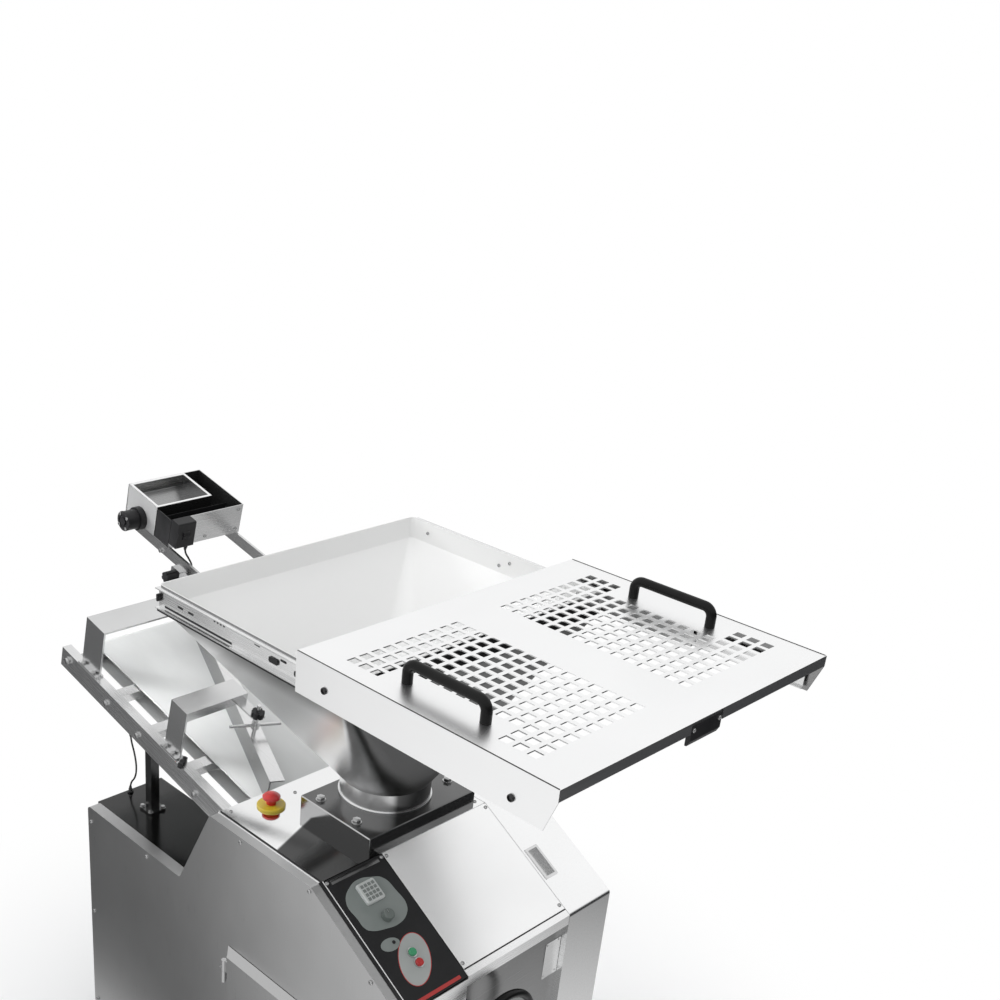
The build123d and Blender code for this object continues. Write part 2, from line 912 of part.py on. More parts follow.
with BuildPart() as hopper:
    with BuildSketch(funnel_plane):
        RectangleRounded(neck_side, neck_side, neck_corner)
    with BuildSketch(collar_plane):
        RectangleRounded(hopper_width, hopper_depth, hopper_corner)
    loft(ruled=True)
    with BuildSketch(collar_plane):
        RectangleRounded(hopper_width, hopper_depth, hopper_corner)
    extrude(amount=hopper_collar)
    with BuildSketch(neck_plane):
        RectangleRounded(neck_side, neck_side, neck_corner)
    extrude(amount=neck_height)
    with BuildSketch(neck_plane):
        Circle(neck_radius + weld_bead)
    extrude(amount=weld_bead)
    with BuildSketch(neck_plane):
        RectangleRounded(inner_neck_side, inner_neck_side, inner_neck_corner)
    extrude(amount=neck_height, mode=Mode.SUBTRACT)
    with BuildSketch(funnel_plane):
        RectangleRounded(inner_neck_side, inner_neck_side, inner_neck_corner)
    with BuildSketch(collar_plane):
        RectangleRounded(
            hopper_width - 2 * hopper_wall,
            hopper_depth - 2 * hopper_wall,
            hopper_corner - hopper_wall,
        )
    loft(ruled=True, mode=Mode.SUBTRACT)
    with BuildSketch(collar_plane):
        RectangleRounded(
            hopper_width - 2 * hopper_wall,
            hopper_depth - 2 * hopper_wall,
            hopper_corner - hopper_wall,
        )
    extrude(amount=hopper_collar, mode=Mode.SUBTRACT)
save(hopper.part, "hopper")

with BuildPart() as hopper_base:
    with BuildSketch(Plane.XY.offset(deck_height)):
        with Locations((0, base_plate_y)):
            RectangleRounded(base_plate_width, base_plate_depth, base_plate_corner)
    extrude(amount=base_plate)
    chamfer(hopper_base.edges().group_by(Axis.Z)[-1], base_plate_corner / 2)
    with BuildSketch(neck_plane):
        Circle(neck_radius - hopper_wall)
    with BuildSketch(Plane.XY.offset(deck_height)):
        with Locations((0, feed_y)):
            Circle(feed_radius)
    loft(ruled=True, mode=Mode.SUBTRACT)
save(hopper_base.part, "hopper_base")

# Sliding lid: perforated sheet with side flanges, a front lip and lugs for the latch
lid_half = lid_width / 2
lid_front_y = lid_rear_y - lid_length
lid_middle_y = (lid_front_y + lid_rear_y) / 2
lid_under = lid_top - lid_sheet
field_width = (hole_rows - 1) * hole_pitch
latch_y = lid_front_y + latch_barrel + latch_gap / 4
latch_z = lid_under - latch_barrel - latch_gap
latch_room = latch_width / 2 + latch_gap
kept_columns = (hole_columns - handle_columns) // 2
hole_places = []
for row in range(hole_rows):
    for column in range(hole_columns):
        beside_handle = row >= hole_rows - handle_rows
        under_handle = kept_columns <= column < kept_columns + handle_columns
        if not (beside_handle and under_handle):
            hole_x = field_offset - field_width / 2 + row * hole_pitch
            hole_y = lid_middle_y + (column - (hole_columns - 1) / 2) * hole_pitch
            hole_places.append((hole_x, hole_y))
            hole_places.append((-hole_x, hole_y))

with BuildPart() as lid:
    with BuildSketch(Plane.XY.offset(lid_under)):
        with Locations((0, lid_middle_y)):
            Rectangle(lid_width, lid_length)
        with Locations(*hole_places):
            Rectangle(hole_side, hole_side, mode=Mode.SUBTRACT)
    extrude(amount=lid_sheet)
    for side in (-1, 1):
        with BuildSketch(Plane.YZ.offset(side * (lid_half - lid_sheet / 2) - lid_sheet / 2)):
            Polygon(
                (lid_front_y, lid_under),
                (lid_rear_y, lid_under),
                (lid_rear_y, lid_top - lid_flange),
                (lid_front_y + lid_lip, lid_top - lid_flange),
                (lid_front_y, lid_top - lid_lip),
                align=None,
            )
        extrude(amount=lid_sheet)
    block(
        (-lid_half, lid_front_y, lid_top - lid_lip),
        (lid_half, lid_front_y + lid_sheet, lid_under),
    )
    block(
        (-latch_room, lid_front_y, lid_top - lid_lip),
        (latch_room, lid_front_y + lid_sheet, lid_under),
        mode=Mode.SUBTRACT,
    )
    for side in (-1, 1):
        lug_x = side * (latch_room + latch_lug / 2)
        with BuildSketch(Plane.YZ.offset(lug_x - latch_lug / 2)):
            with Locations((latch_y, latch_z)):
                Circle(latch_barrel)
            Polygon(
                (latch_y - latch_barrel, latch_z),
                (latch_y + latch_barrel, latch_z),
                (latch_y + latch_barrel, lid_under),
                (latch_y - latch_barrel, lid_under),
                align=None,
            )
            with Locations((latch_y, latch_z)):
                Circle(latch_pin + latch_fit, mode=Mode.SUBTRACT)
        extrude(amount=latch_lug)
save(lid.part, "lid")

with BuildPart() as lid_handles:
    for side in (-1, 1):
        with BuildLine():
            FilletPolyline(
                (side * handle_x, lid_middle_y - handle_spacing / 2, lid_top),
                (side * handle_x, lid_middle_y - handle_spacing / 2, lid_top + handle_height - handle_bar),
                (side * handle_x, lid_middle_y + handle_spacing / 2, lid_top + handle_height - handle_bar),
                (side * handle_x, lid_middle_y + handle_spacing / 2, lid_top),
                radius=handle_bend,
            )
        with BuildSketch(Plane.XY.offset(lid_top)):
            with Locations((side * handle_x, lid_middle_y - handle_spacing / 2)):
                Circle(handle_bar)
        sweep()
save(lid_handles.part, "lid_handles")

with BuildPart() as lid_latch:
    with BuildSketch(Plane.YZ.offset(-latch_width / 2)):
        with Locations((latch_y, latch_z)):
            Circle(latch_barrel)
        Polygon(
            (latch_y - latch_barrel, latch_z),
            (latch_y + latch_thickness - latch_barrel, latch_z),
            (latch_y + latch_thickness - latch_barrel, latch_z - latch_height + latch_barrel),
            (latch_y, latch_z - latch_height + latch_barrel),
            (latch_y - latch_barrel, latch_z - latch_height + 3 * latch_barrel),
            align=None,
        )
    extrude(amount=latch_width)
    with BuildSketch(Plane.YZ.offset(-latch_room - latch_lug)):
        with Locations((latch_y, latch_z)):
            Circle(latch_pin)
    extrude(amount=2 * (latch_room + latch_lug))
save(lid_latch.part, "lid_latch")

# Telescopic slides: fixed rail on the collar, middle rail, lid rail
collar_face = hopper_width / 2
slide_z = hopper_top - slide_height / 2 - sheet
slide_y = hopper_y
lid_rail_y = lid_middle_y + sheet
middle_y = (slide_y + lid_rail_y) / 2
middle_height = slide_height - 2 * slide_web - 2 * slide_play
inner_height = middle_height - 2 * slide_web - 2 * slide_play
middle_face = collar_face + slide_web + 2 * slide_play
inner_face = middle_face + slide_web + 2 * slide_play
inner_web = collar_face + slide_depth + slide_play
lid_inner_face = lid_half - lid_sheet


with BuildPart() as slide_rails:
    for side in (-1, 1):
        with BuildSketch(Plane.XZ.offset(-(slide_y - slide_length / 2))):
            with Locations((side * (collar_face + slide_depth / 2), slide_z)):
                Rectangle(slide_depth, slide_height)
            with Locations((side * (collar_face + slide_web + slide_depth / 2), slide_z)):
                Rectangle(slide_depth, slide_height - 2 * slide_web, mode=Mode.SUBTRACT)
        extrude(amount=-slide_length)
save(slide_rails.part, "slide_rails")

with BuildPart() as slide_middles:
    middle_depth = collar_face + slide_depth - middle_face
    for side in (-1, 1):
        with BuildSketch(Plane.XZ.offset(-(middle_y - middle_length / 2))):
            with Locations((side * (middle_face + middle_depth / 2), slide_z)):
                Rectangle(middle_depth, middle_height)
            with Locations((side * (middle_face + slide_web + middle_depth / 2), slide_z)):
                Rectangle(middle_depth, middle_height - 2 * slide_web, mode=Mode.SUBTRACT)
        extrude(amount=-middle_length)
save(slide_middles.part, "slide_middles")

with BuildPart() as lid_rails:
    inner_depth = inner_web + slide_web - inner_face
    for side in (-1, 1):
        with BuildSketch(Plane.XZ.offset(-(lid_rail_y - lid_rail_length / 2))):
            with Locations((side * (inner_face + inner_depth / 2), slide_z)):
                Rectangle(inner_depth, inner_height)
            with Locations((side * (inner_face - slide_web + inner_depth / 2), slide_z)):
                Rectangle(inner_depth, inner_height - 2 * slide_web, mode=Mode.SUBTRACT)
        extrude(amount=-lid_rail_length)
        for pad_y in (lid_rail_y - lid_rail_length / 3, lid_rail_y + lid_rail_length / 3):
            low_x = min(side * (inner_web + slide_web), side * lid_inner_face)
            block(
                (low_x, pad_y - lid_pad / 2, slide_z - inner_height / 3),
                (
                    low_x + lid_inner_face - inner_web - slide_web,
                    pad_y + lid_pad / 2,
                    slide_z + inner_height / 3,
                ),
            )
save(lid_rails.part, "lid_rails")

# Chamber under the hopper, with the feed opening, the ram channel and the seat of the drum
piston_low = channel_low + ram_clearance
knife_low = piston_low + piston_height + ram_clearance
channel_high = knife_low + knife_height + ram_clearance
ram_width = channel_width - 2 * ram_clearance
drum_axis = Axis((0, drum_y, drum_z), (1, 0, 0))

with BuildPart() as chamber_block:
    block(
        (-chamber_width / 2, chamber_front_y, chamber_bottom),
        (chamber_width / 2, chamber_rear_y, chamber_top),
    )
    chamfer(chamber_block.edges().filter_by(Axis.Z), channel_floor / 4)
    block(
        (-channel_width / 2, chamber_front_y - sheet, channel_low),
        (channel_width / 2, drum_y, channel_high),
        mode=Mode.SUBTRACT,
    )
    with Locations((0, feed_y, channel_low + piston_height)):
        Cylinder(feed_radius, chamber_top - channel_low, align=on_face, mode=Mode.SUBTRACT)
    with BuildSketch(Plane.YZ.offset(-drum_length / 2 - drum_gap)):
        with Locations((drum_y, drum_z)):
            Circle(drum_radius + drum_gap)
    extrude(amount=drum_length + 2 * drum_gap, mode=Mode.SUBTRACT)
save(chamber_block.part, "chamber_block")

with BuildPart() as dough_knife:
    with BuildSketch(Plane.YZ.offset(-ram_width / 2)):
        Polygon(
            (ram_face_y - knife_length, knife_low),
            (ram_face_y, knife_low),
            (ram_face_y - knife_edge, knife_low + knife_height),
            (ram_face_y - knife_length, knife_low + knife_height),
            align=None,
        )
    extrude(amount=ram_width)
save(dough_knife.part, "dough_knife")

with BuildPart() as main_piston:
    block(
        (-ram_width / 2, ram_face_y - piston_length, piston_low),
        (ram_width / 2, ram_face_y, piston_low + piston_height),
    )
    piston_rear = ram_face_y - piston_length
    with BuildSketch(Plane.YZ.offset(-piston_height / 4)):
        with Locations((piston_rear, piston_low + piston_height / 3)):
            Circle(piston_height / 3)
    extrude(amount=piston_height / 2)
    with BuildSketch(Plane.YZ.offset(-piston_height)):
        with Locations((piston_rear - piston_height / 9, piston_low + piston_height / 3)):
            Circle(piston_height / 9)
    extrude(amount=2 * piston_height, mode=Mode.SUBTRACT)
save(main_piston.part, "main_piston")

# Dividing drum with its pocket, and the measuring piston inside the pocket
with BuildPart() as dividing_drum:
    with BuildSketch(Plane.YZ.offset(-drum_length / 2)):
        with Locations((drum_y, drum_z)):
            Circle(drum_radius)
    extrude(amount=drum_length)
    with BuildSketch(Plane.YZ.offset(-drum_shaft_length / 2)):
        with Locations((drum_y, drum_z)):
            Circle(drum_shaft_radius)
    extrude(amount=drum_shaft_length)
    block(
        (-pocket_width / 2, drum_y - drum_radius - sheet, drum_z - pocket_height / 2),
        (pocket_width / 2, drum_y - drum_radius + pocket_depth, drum_z + pocket_height / 2),
        mode=Mode.SUBTRACT,
    )
save(dividing_drum.part, "dividing_drum")

pocket_floor = drum_y - drum_radius + pocket_depth

with BuildPart() as measuring_piston:
    block(
        (
            -pocket_width / 2 + ram_clearance,
            pocket_floor - measure_depth,
            drum_z - pocket_height / 2 + ram_clearance,
        ),
        (
            pocket_width / 2 - ram_clearance,
            pocket_floor - ram_clearance,
            drum_z + pocket_height / 2 - ram_clearance,
        ),
    )
save(measuring_piston.part, "measuring_piston")

# Pillow blocks of the drum and hangers of the cam shaft
with BuildPart() as shaft_bearings:
    for x in (-bearing_x - bearing_width, bearing_x):
        with BuildSketch(Plane.YZ.offset(x)):
            with Locations((drum_y, drum_z)):
                RectangleRounded(bearing_block, bearing_block, bearing_block / 8)
                Circle(drum_shaft_radius + bearing_fit, mode=Mode.SUBTRACT)
        extrude(amount=bearing_width)
    for x in (-hanger_x, hanger_x):
        with BuildSketch(Plane.YZ.offset(x - hanger_thickness / 2)):
            with Locations((cam_y, cam_z)):
                Circle(hanger_width / 2)
            Polygon(
                (cam_y - hanger_width / 2, cam_z),
                (cam_y + hanger_width / 2, cam_z),
                (cam_y + hanger_width / 2, frame_top - frame_tube),
                (cam_y - hanger_width / 2, frame_top - frame_tube),
                align=None,
            )
            with Locations((cam_y, cam_z)):
                Circle(cam_shaft_radius + bearing_fit, mode=Mode.SUBTRACT)
        extrude(amount=hanger_thickness)
save(shaft_bearings.part, "shaft_bearings")

# Cam shaft with two cams and the large sprocket
large_radius = sprocket_pitch / (2 * sin(pi / large_teeth))
small_radius = sprocket_pitch / (2 * sin(pi / small_teeth))


def sprocket_face(radius, teeth):
    Circle(radius - tooth_height)
    with PolarLocations(radius - tooth_height, teeth):
        Rectangle(2 * tooth_height, sprocket_pitch / 3)


with BuildPart() as cam_shaft:
    with BuildSketch(Plane.YZ.offset(-cam_shaft_length / 2)):
        with Locations((cam_y, cam_z)):
            Circle(cam_shaft_radius)
    extrude(amount=cam_shaft_length)
    for side in (-1, 1):
        with BuildSketch(Plane.YZ.offset(side * cam_spacing / 2 - cam_thickness / 2)):
            with Locations((cam_y, cam_z + side * cam_throw)):
                Circle(cam_radius)
        extrude(amount=cam_thickness)
    with BuildSketch(Plane.YZ.offset(sprocket_x - sprocket_thickness / 2)):
        with Locations((cam_y, cam_z)):
            sprocket_face(large_radius, large_teeth)
    extrude(amount=sprocket_thickness)
save(cam_shaft.part, "cam_shaft")

# Gear motor on the sills, its sprocket and the chain up to the cam shaft
case_left = gear_case_x - gear_case_length

with BuildPart() as gear_motor:
    with BuildSketch(Plane.YZ.offset(case_left)):
        with Locations((cam_y, motor_z)):
            RectangleRounded(gear_case, gear_case, gear_case_corner)
    extrude(amount=gear_case_length)
    with BuildSketch(Plane.YZ.offset(case_left)):
        with Locations((cam_y, motor_z)):
            Circle(motor_radius)
    extrude(amount=-motor_length)
    fillet(gear_motor.edges().group_by(Axis.X)[0], gear_case_corner)
    with BuildSketch(Plane.YZ.offset(gear_case_x)):
        with Locations((cam_y, motor_z)):
            Circle(output_radius + bearing_fit)
    extrude(amount=-output_depth - sheet, mode=Mode.SUBTRACT)
save(gear_motor.part, "gear_motor")

with BuildPart() as motor_sprocket:
    with BuildSketch(Plane.YZ.offset(gear_case_x - output_depth)):
        with Locations((cam_y, motor_z)):
            Circle(output_radius)
    extrude(amount=sprocket_x + 2 * sprocket_thickness - gear_case_x + output_depth)
    with BuildSketch(Plane.YZ.offset(sprocket_x - sprocket_thickness / 2)):
        with Locations((cam_y, motor_z)):
            sprocket_face(small_radius, small_teeth)
    extrude(amount=sprocket_thickness)
save(motor_sprocket.part, "motor_sprocket")

chain_inner = tooth_height / 2 + chain_gap

with BuildPart() as drive_chain:
    with BuildSketch(Plane.YZ.offset(sprocket_x - chain_width / 2)):
        with Locations((cam_y, cam_z)):
            Circle(large_radius + chain_inner + chain_height)
        with Locations((cam_y, motor_z)):
            Circle(small_radius + chain_inner + chain_height)
        make_hull()
    extrude(amount=chain_width)
    with BuildSketch(Plane.YZ.offset(sprocket_x - chain_width / 2)):
        with Locations((cam_y, cam_z)):
            Circle(large_radius + chain_inner)
        with Locations((cam_y, motor_z)):
            Circle(small_radius + chain_inner)
        make_hull()
    extrude(amount=chain_width, mode=Mode.SUBTRACT)
save(drive_chain.part, "drive_chain")

# Outfeed conveyor: two box rails joined by cross tubes
rail_inner = rail_spacing / 2 - rail_width / 2
roller_radius = belt_radius - belt_thickness - roller_gap
journal_reach = rail_inner + rail_width / 2

with BuildPart() as conveyor_frame:
    for side in (-1, 1):
        with BuildSketch(end_plane(belt_point(side * rail_spacing / 2, rail_start, -rail_height / 2))):
            Rectangle(rail_width, rail_height)
            Rectangle(rail_width - 2 * rail_wall, rail_height - 2 * rail_wall, mode=Mode.SUBTRACT)
        extrude(amount=rail_start - rail_end)
    for along in (tail_along, drive_along):
        with BuildSketch(side_plane(belt_point(-journal_reach, along, -belt_radius))):
            Circle(journal_radius + journal_fit)
        extrude(amount=2 * journal_reach, mode=Mode.SUBTRACT)
    for along in cross_tube_along:
        tube_out = -belt_thickness - bed_gap - bed_thickness - cross_tube_height / 2
        with BuildSketch(side_plane(belt_point(-rail_inner, along, tube_out))):
            Rectangle(cross_tube_width, cross_tube_height)
            Rectangle(
                cross_tube_width - 2 * cross_tube_wall,
                cross_tube_height - 2 * cross_tube_wall,
                mode=Mode.SUBTRACT,
            )
        extrude(amount=2 * rail_inner)
    with BuildSketch(Plane.XY.offset(rail_underside(cable_rail_y) - gland_length)):
        with Locations((-rail_spacing / 2, cable_rail_y)):
            Circle(gland_radius)
    extrude(amount=gland_length + rail_wall / 2)
save(conveyor_frame.part, "conveyor_frame")

with BuildPart() as conveyor_bed:
    bed_out = -belt_thickness - bed_gap - bed_thickness
    with BuildSketch(face_plane(belt_point(0, (bed_start + bed_end) / 2, bed_out))):
        Rectangle(belt_width - 2 * roller_overhang, bed_end - bed_start)
    extrude(amount=bed_thickness)
save(conveyor_bed.part, "conveyor_bed")

belt_run = drive_along - tail_along

with BuildPart() as conveyor_belt:
    with BuildSketch(side_plane(belt_point(-belt_width / 2, (tail_along + drive_along) / 2, -belt_radius))):
        SlotCenterToCenter(belt_run, 2 * belt_radius)
        SlotCenterToCenter(belt_run, 2 * (belt_radius - belt_thickness), mode=Mode.SUBTRACT)
    extrude(amount=belt_width)
save(conveyor_belt.part, "conveyor_belt")

for name, along in (("belt_tail_roller", tail_along), ("belt_drive_roller", drive_along)):
    with BuildPart() as roller:
        with BuildSketch(side_plane(belt_point(-belt_width / 2 - roller_overhang, along, -belt_radius))):
            Circle(roller_radius)
        extrude(amount=belt_width + 2 * roller_overhang)
        with BuildSketch(side_plane(belt_point(-journal_reach, along, -belt_radius))):
            Circle(journal_radius)
        extrude(amount=2 * journal_reach)
    save(roller.part, name)

post_y = belt_point(0, post_along, -rail_height)[1]

with BuildPart() as conveyor_post:
    with BuildSketch(Plane.YZ.offset(-rail_spacing / 2 - post_width / 2)):
        Polygon(
            (post_y - post_width / 2, rear_low_height),
            (post_y + post_width / 2, rear_low_height),
            (post_y + post_width / 2, rail_underside(post_y + post_width / 2)),
            (post_y - post_width / 2, rail_underside(post_y - post_width / 2)),
            align=None,
        )
    extrude(amount=post_width)
    with BuildSketch(Plane.XY.offset(rear_low_height)):
        with Locations((-rail_spacing / 2, post_y)):
            RectangleRounded(2 * post_width, 2 * post_width, post_width / 4)
    extrude(amount=arm_plate)
save(conveyor_post.part, "conveyor_post")

# Rounding guide: bent arm on the near rail, rear bridge, knob and the diagonal bar with its stems
guide_span = hypot(guide_rear_x - guide_front_x, guide_rear_along - guide_front_along)
guide_dx = (guide_rear_x - guide_front_x) / guide_span
guide_du = (guide_rear_along - guide_front_along) / guide_span


# Point over the belt, measured along the bar, to its far side and off the belt
def guide_point(run, side, out):
    x = guide_front_x + run * guide_dx + side * guide_du
    along = guide_front_along + run * guide_du - side * guide_dx
    return belt_point(x, along, out)


guide_dir = Vector(*guide_point(1, 0, 0)) - Vector(*guide_point(0, 0, 0))
guide_across = Vector(*guide_point(0, 1, 0)) - Vector(*guide_point(0, 0, 0))
front_stem_x = guide_front_x + stem_front * guide_dx + stem_inset * guide_du
front_stem_along = guide_front_along + stem_front * guide_du - stem_inset * guide_dx
rear_stem_x = guide_front_x + stem_rear * guide_dx + stem_inset * guide_du
rear_stem_along = guide_front_along + stem_rear * guide_du - stem_inset * guide_dx
near_rail = -rail_spacing / 2

with BuildPart() as guide_arm:
    with BuildSketch(end_plane(belt_point(0, arm_along, 0))):
        Polygon(
            (near_rail - arm_foot / 2, 0),
            (near_rail + arm_foot / 2, 0),
            (near_rail + arm_foot / 2, arm_plate),
            (near_rail + arm_plate, arm_plate),
            (near_rail + arm_plate, arm_rise - arm_plate),
            (arm_end_x, arm_rise - arm_plate),
            (arm_end_x, arm_rise),
            (near_rail, arm_rise),
            (near_rail, arm_plate),
            (near_rail - arm_foot / 2, arm_plate),
            align=None,
        )
    extrude(amount=-arm_width)
    with BuildSketch(end_plane(belt_point(0, arm_along, 0))):
        Polygon(
            (near_rail, tab_rise - arm_plate),
            (arm_end_x, tab_rise - arm_plate),
            (arm_end_x, arm_rise),
            (near_rail, arm_rise),
            align=None,
        )
    extrude(amount=-arm_plate)
    with BuildSketch(face_plane(belt_point(0, 0, tab_rise))):
        Polygon(
            (arm_end_x - tab_width, tab_start),
            (arm_end_x, tab_start),
            (arm_end_x, arm_along + arm_plate),
            (arm_end_x - tab_width, arm_along + arm_plate),
            align=None,
        )
    extrude(amount=-arm_plate)
    with BuildSketch(face_plane(belt_point(front_stem_x, front_stem_along, tab_rise))):
        Circle(stem_radius + stem_fit)
    extrude(amount=-arm_plate, mode=Mode.SUBTRACT)
save(guide_arm.part, "guide_arm")

with BuildPart() as rear_bridge:
    with BuildSketch(end_plane(belt_point(0, bridge_along, 0))):
        for side in (-1, 1):
            with Locations((side * rail_spacing / 2, arm_plate / 2)):
                Rectangle(arm_foot, arm_plate)
            with Locations((side * (rail_spacing / 2 - arm_plate / 2), arm_rise / 2)):
                Rectangle(arm_plate, arm_rise)
        with Locations((0, arm_rise - arm_plate / 2)):
            Rectangle(rail_spacing, arm_plate)
    extrude(amount=-bridge_width)
    with BuildSketch(face_plane(belt_point(rear_stem_x, rear_stem_along, arm_rise))):
        Circle(stem_radius + stem_fit)
    extrude(amount=-2 * arm_plate, mode=Mode.SUBTRACT)
save(rear_bridge.part, "rear_bridge")

with BuildPart() as guide_knob:
    with BuildSketch(face_plane(belt_point(front_stem_x, front_stem_along, tab_rise))):
        Circle(guide_knob_radius)
        with PolarLocations(guide_knob_radius, 6):
            Circle(guide_knob_radius / 5, mode=Mode.SUBTRACT)
        Circle(stem_radius + stem_fit, mode=Mode.SUBTRACT)
    extrude(amount=guide_knob_height)
save(guide_knob.part, "guide_knob")

guide_top = guide_clear + guide_height

with BuildPart() as rounding_bar:
    bar_end = Plane(
        origin=guide_point(0, 0, 0),
        x_dir=(guide_across.X, guide_across.Y, guide_across.Z),
        z_dir=(-guide_dir.X, -guide_dir.Y, -guide_dir.Z),
    )
    with BuildSketch(bar_end) as bar_section:
        Polygon(
            (0, guide_clear),
            (guide_sheet, guide_clear),
            (guide_sheet, guide_top - guide_sheet),
            (guide_flange, guide_top - guide_sheet),
            (guide_flange, guide_top),
            (0, guide_top),
            align=None,
        )
    extrude(amount=-guide_span)
    for x, along in ((front_stem_x, front_stem_along), (rear_stem_x, rear_stem_along)):
        with BuildSketch(face_plane(belt_point(x, along, guide_top))):
            Circle(stem_radius)
        extrude(amount=stem_top - guide_top)
    with BuildSketch(face_plane(belt_point(front_stem_x, front_stem_along, rod_rise - 2 * rod_radius))):
        Circle(2 * stem_radius)
    extrude(amount=4 * rod_radius)
    rod_start = Plane(
        origin=guide_point(stem_front, stem_inset - rod_length / 2, rod_rise),
        x_dir=(guide_dir.X, guide_dir.Y, guide_dir.Z),
        z_dir=(guide_across.X, guide_across.Y, guide_across.Z),
    )
    with BuildSketch(rod_start):
        Circle(rod_radius)
    extrude(amount=rod_length)
save(rounding_bar.part, "rounding_bar")

# Flour duster: folded housing, flour bin with its dusting roller and motor
duster_half = duster_width / 2
floor_out = -duster_height
bin_left = -duster_half
bin_right = bin_left + bin_width
bin_end = duster_length - duster_sheet - dust_gap
bin_middle = (bin_start + bin_end) / 2
dust_out = -bin_drop - dust_gap - dust_roller_radius

with BuildPart() as duster_housing:
    with BuildSketch(face_plane(duster_point(0, duster_length / 2, floor_out))):
        Rectangle(duster_width, duster_length)
    extrude(amount=duster_height)
    with BuildSketch(face_plane(duster_point(0, duster_length / 2, floor_out + duster_sheet))):
        with Locations((-duster_sheet, 0)):
            Rectangle(duster_width, duster_length - 2 * duster_sheet)
    extrude(amount=duster_height, mode=Mode.SUBTRACT)
    with BuildSketch(face_plane(duster_point((bin_left + bin_right) / 2, bin_middle, floor_out))):
        Rectangle(bin_width - 4 * duster_sheet, 2 * bin_mouth)
    extrude(amount=duster_sheet, mode=Mode.SUBTRACT)
save(duster_housing.part, "duster_housing")


def trough(inset, top):
    mouth_half = bin_mouth / 2 - inset
    return [
        (bin_start + inset, top),
        (bin_end - inset, top),
        (bin_end - inset, -bin_straight),
        (bin_middle + mouth_half, -bin_drop),
        (bin_middle - mouth_half, -bin_drop),
        (bin_start + inset, -bin_straight),
    ]


with BuildPart() as flour_bin:
    with BuildSketch(side_plane(duster_point(bin_left, 0, 0))):
        Polygon(*trough(0, 0), align=None)
    extrude(amount=bin_width)
    for x in (bin_left, bin_right - duster_sheet):
        with BuildSketch(side_plane(duster_point(x, 0, 0))):
            Polygon(
                (bin_start, 0),
                (bin_end, 0),
                (bin_end, floor_out + duster_sheet),
                (bin_start, floor_out + duster_sheet),
                align=None,
            )
        extrude(amount=duster_sheet)
    with BuildSketch(side_plane(duster_point(bin_left + duster_sheet, 0, 0))):
        Polygon(*trough(duster_sheet, 0), align=None)
    extrude(amount=bin_width - 2 * duster_sheet, mode=Mode.SUBTRACT)
    with BuildSketch(side_plane(duster_point(bin_left, bin_middle, dust_out))):
        Circle(dust_shaft_radius + dust_fit)
    extrude(amount=bin_width, mode=Mode.SUBTRACT)
save(flour_bin.part, "flour_bin")

with BuildPart() as duster_roller:
    with BuildSketch(side_plane(duster_point(bin_left + duster_sheet + dust_gap, bin_middle, dust_out))):
        Circle(dust_roller_radius)
        with PolarLocations(dust_roller_radius, 12):
            Circle(dust_gap, mode=Mode.SUBTRACT)
    extrude(amount=bin_width - 2 * duster_sheet - 2 * dust_gap)
    with BuildSketch(side_plane(duster_point(bin_left - dust_coupling, bin_middle, dust_out))):
        Circle(dust_shaft_radius)
    extrude(amount=bin_width + dust_coupling + duster_sheet)
save(duster_roller.part, "duster_roller")

with BuildPart() as duster_motor:
    with BuildSketch(side_plane(duster_point(bin_left, bin_middle, dust_out))):
        Circle(dust_motor_radius)
    extrude(amount=-dust_motor_length / 3)
    with BuildSketch(side_plane(duster_point(bin_left, bin_middle, dust_out))):
        Circle(dust_motor_radius * 0.85)
    extrude(amount=-dust_motor_length)
    with BuildSketch(side_plane(duster_point(bin_left, bin_middle, dust_out))):
        Circle(dust_shaft_radius + dust_fit)
    extrude(amount=-dust_coupling - dust_gap, mode=Mode.SUBTRACT)
save(duster_motor.part, "duster_motor")

# Arms that carry the duster off the rear wall of the hopper, with the clamp under the near arm
arm_low = floor_out - arm_height
wall_top_y = hopper_y + hopper_depth / 2
funnel_slope = (wall_top_y - neck_y - neck_radius) / (collar_low - funnel_low)


# Run along the arm at which a line at the given height meets the rear wall of the funnel
def wall_along(out):
    y0 = duster_y - out * belt_sin
    z0 = duster_z + out * belt_cos
    wall_y = wall_top_y - (collar_low - z0) * funnel_slope
    return (wall_y - y0) / (belt_cos - belt_sin * funnel_slope)


clamp_x = -arm_spacing / 2
clamp_out = arm_low - clamp_drop / 2

with BuildPart() as duster_arms:
    for side in (-1, 1):
        with BuildSketch(side_plane(duster_point(side * arm_spacing / 2 - arm_thickness / 2, 0, 0))):
            Polygon(
                (wall_along(floor_out), floor_out),
                (duster_length, floor_out),
                (duster_length, arm_low),
                (wall_along(arm_low), arm_low),
                align=None,
            )
        extrude(amount=arm_thickness)
    with BuildSketch(side_plane(duster_point(clamp_x - clamp_width / 2, clamp_along, clamp_out))):
        RectangleRounded(clamp_length, clamp_drop, clamp_drop / 8)
    extrude(amount=clamp_width)
    with BuildSketch(side_plane(duster_point(clamp_x - clamp_width / 2, clamp_along, clamp_out))):
        Circle(clamp_stem_radius + dust_fit)
    extrude(amount=clamp_width / 2, mode=Mode.SUBTRACT)
save(duster_arms.part, "duster_arms")

knob_plane = side_plane(duster_point(clamp_x - clamp_width / 2 - button_fit, clamp_along, clamp_out))

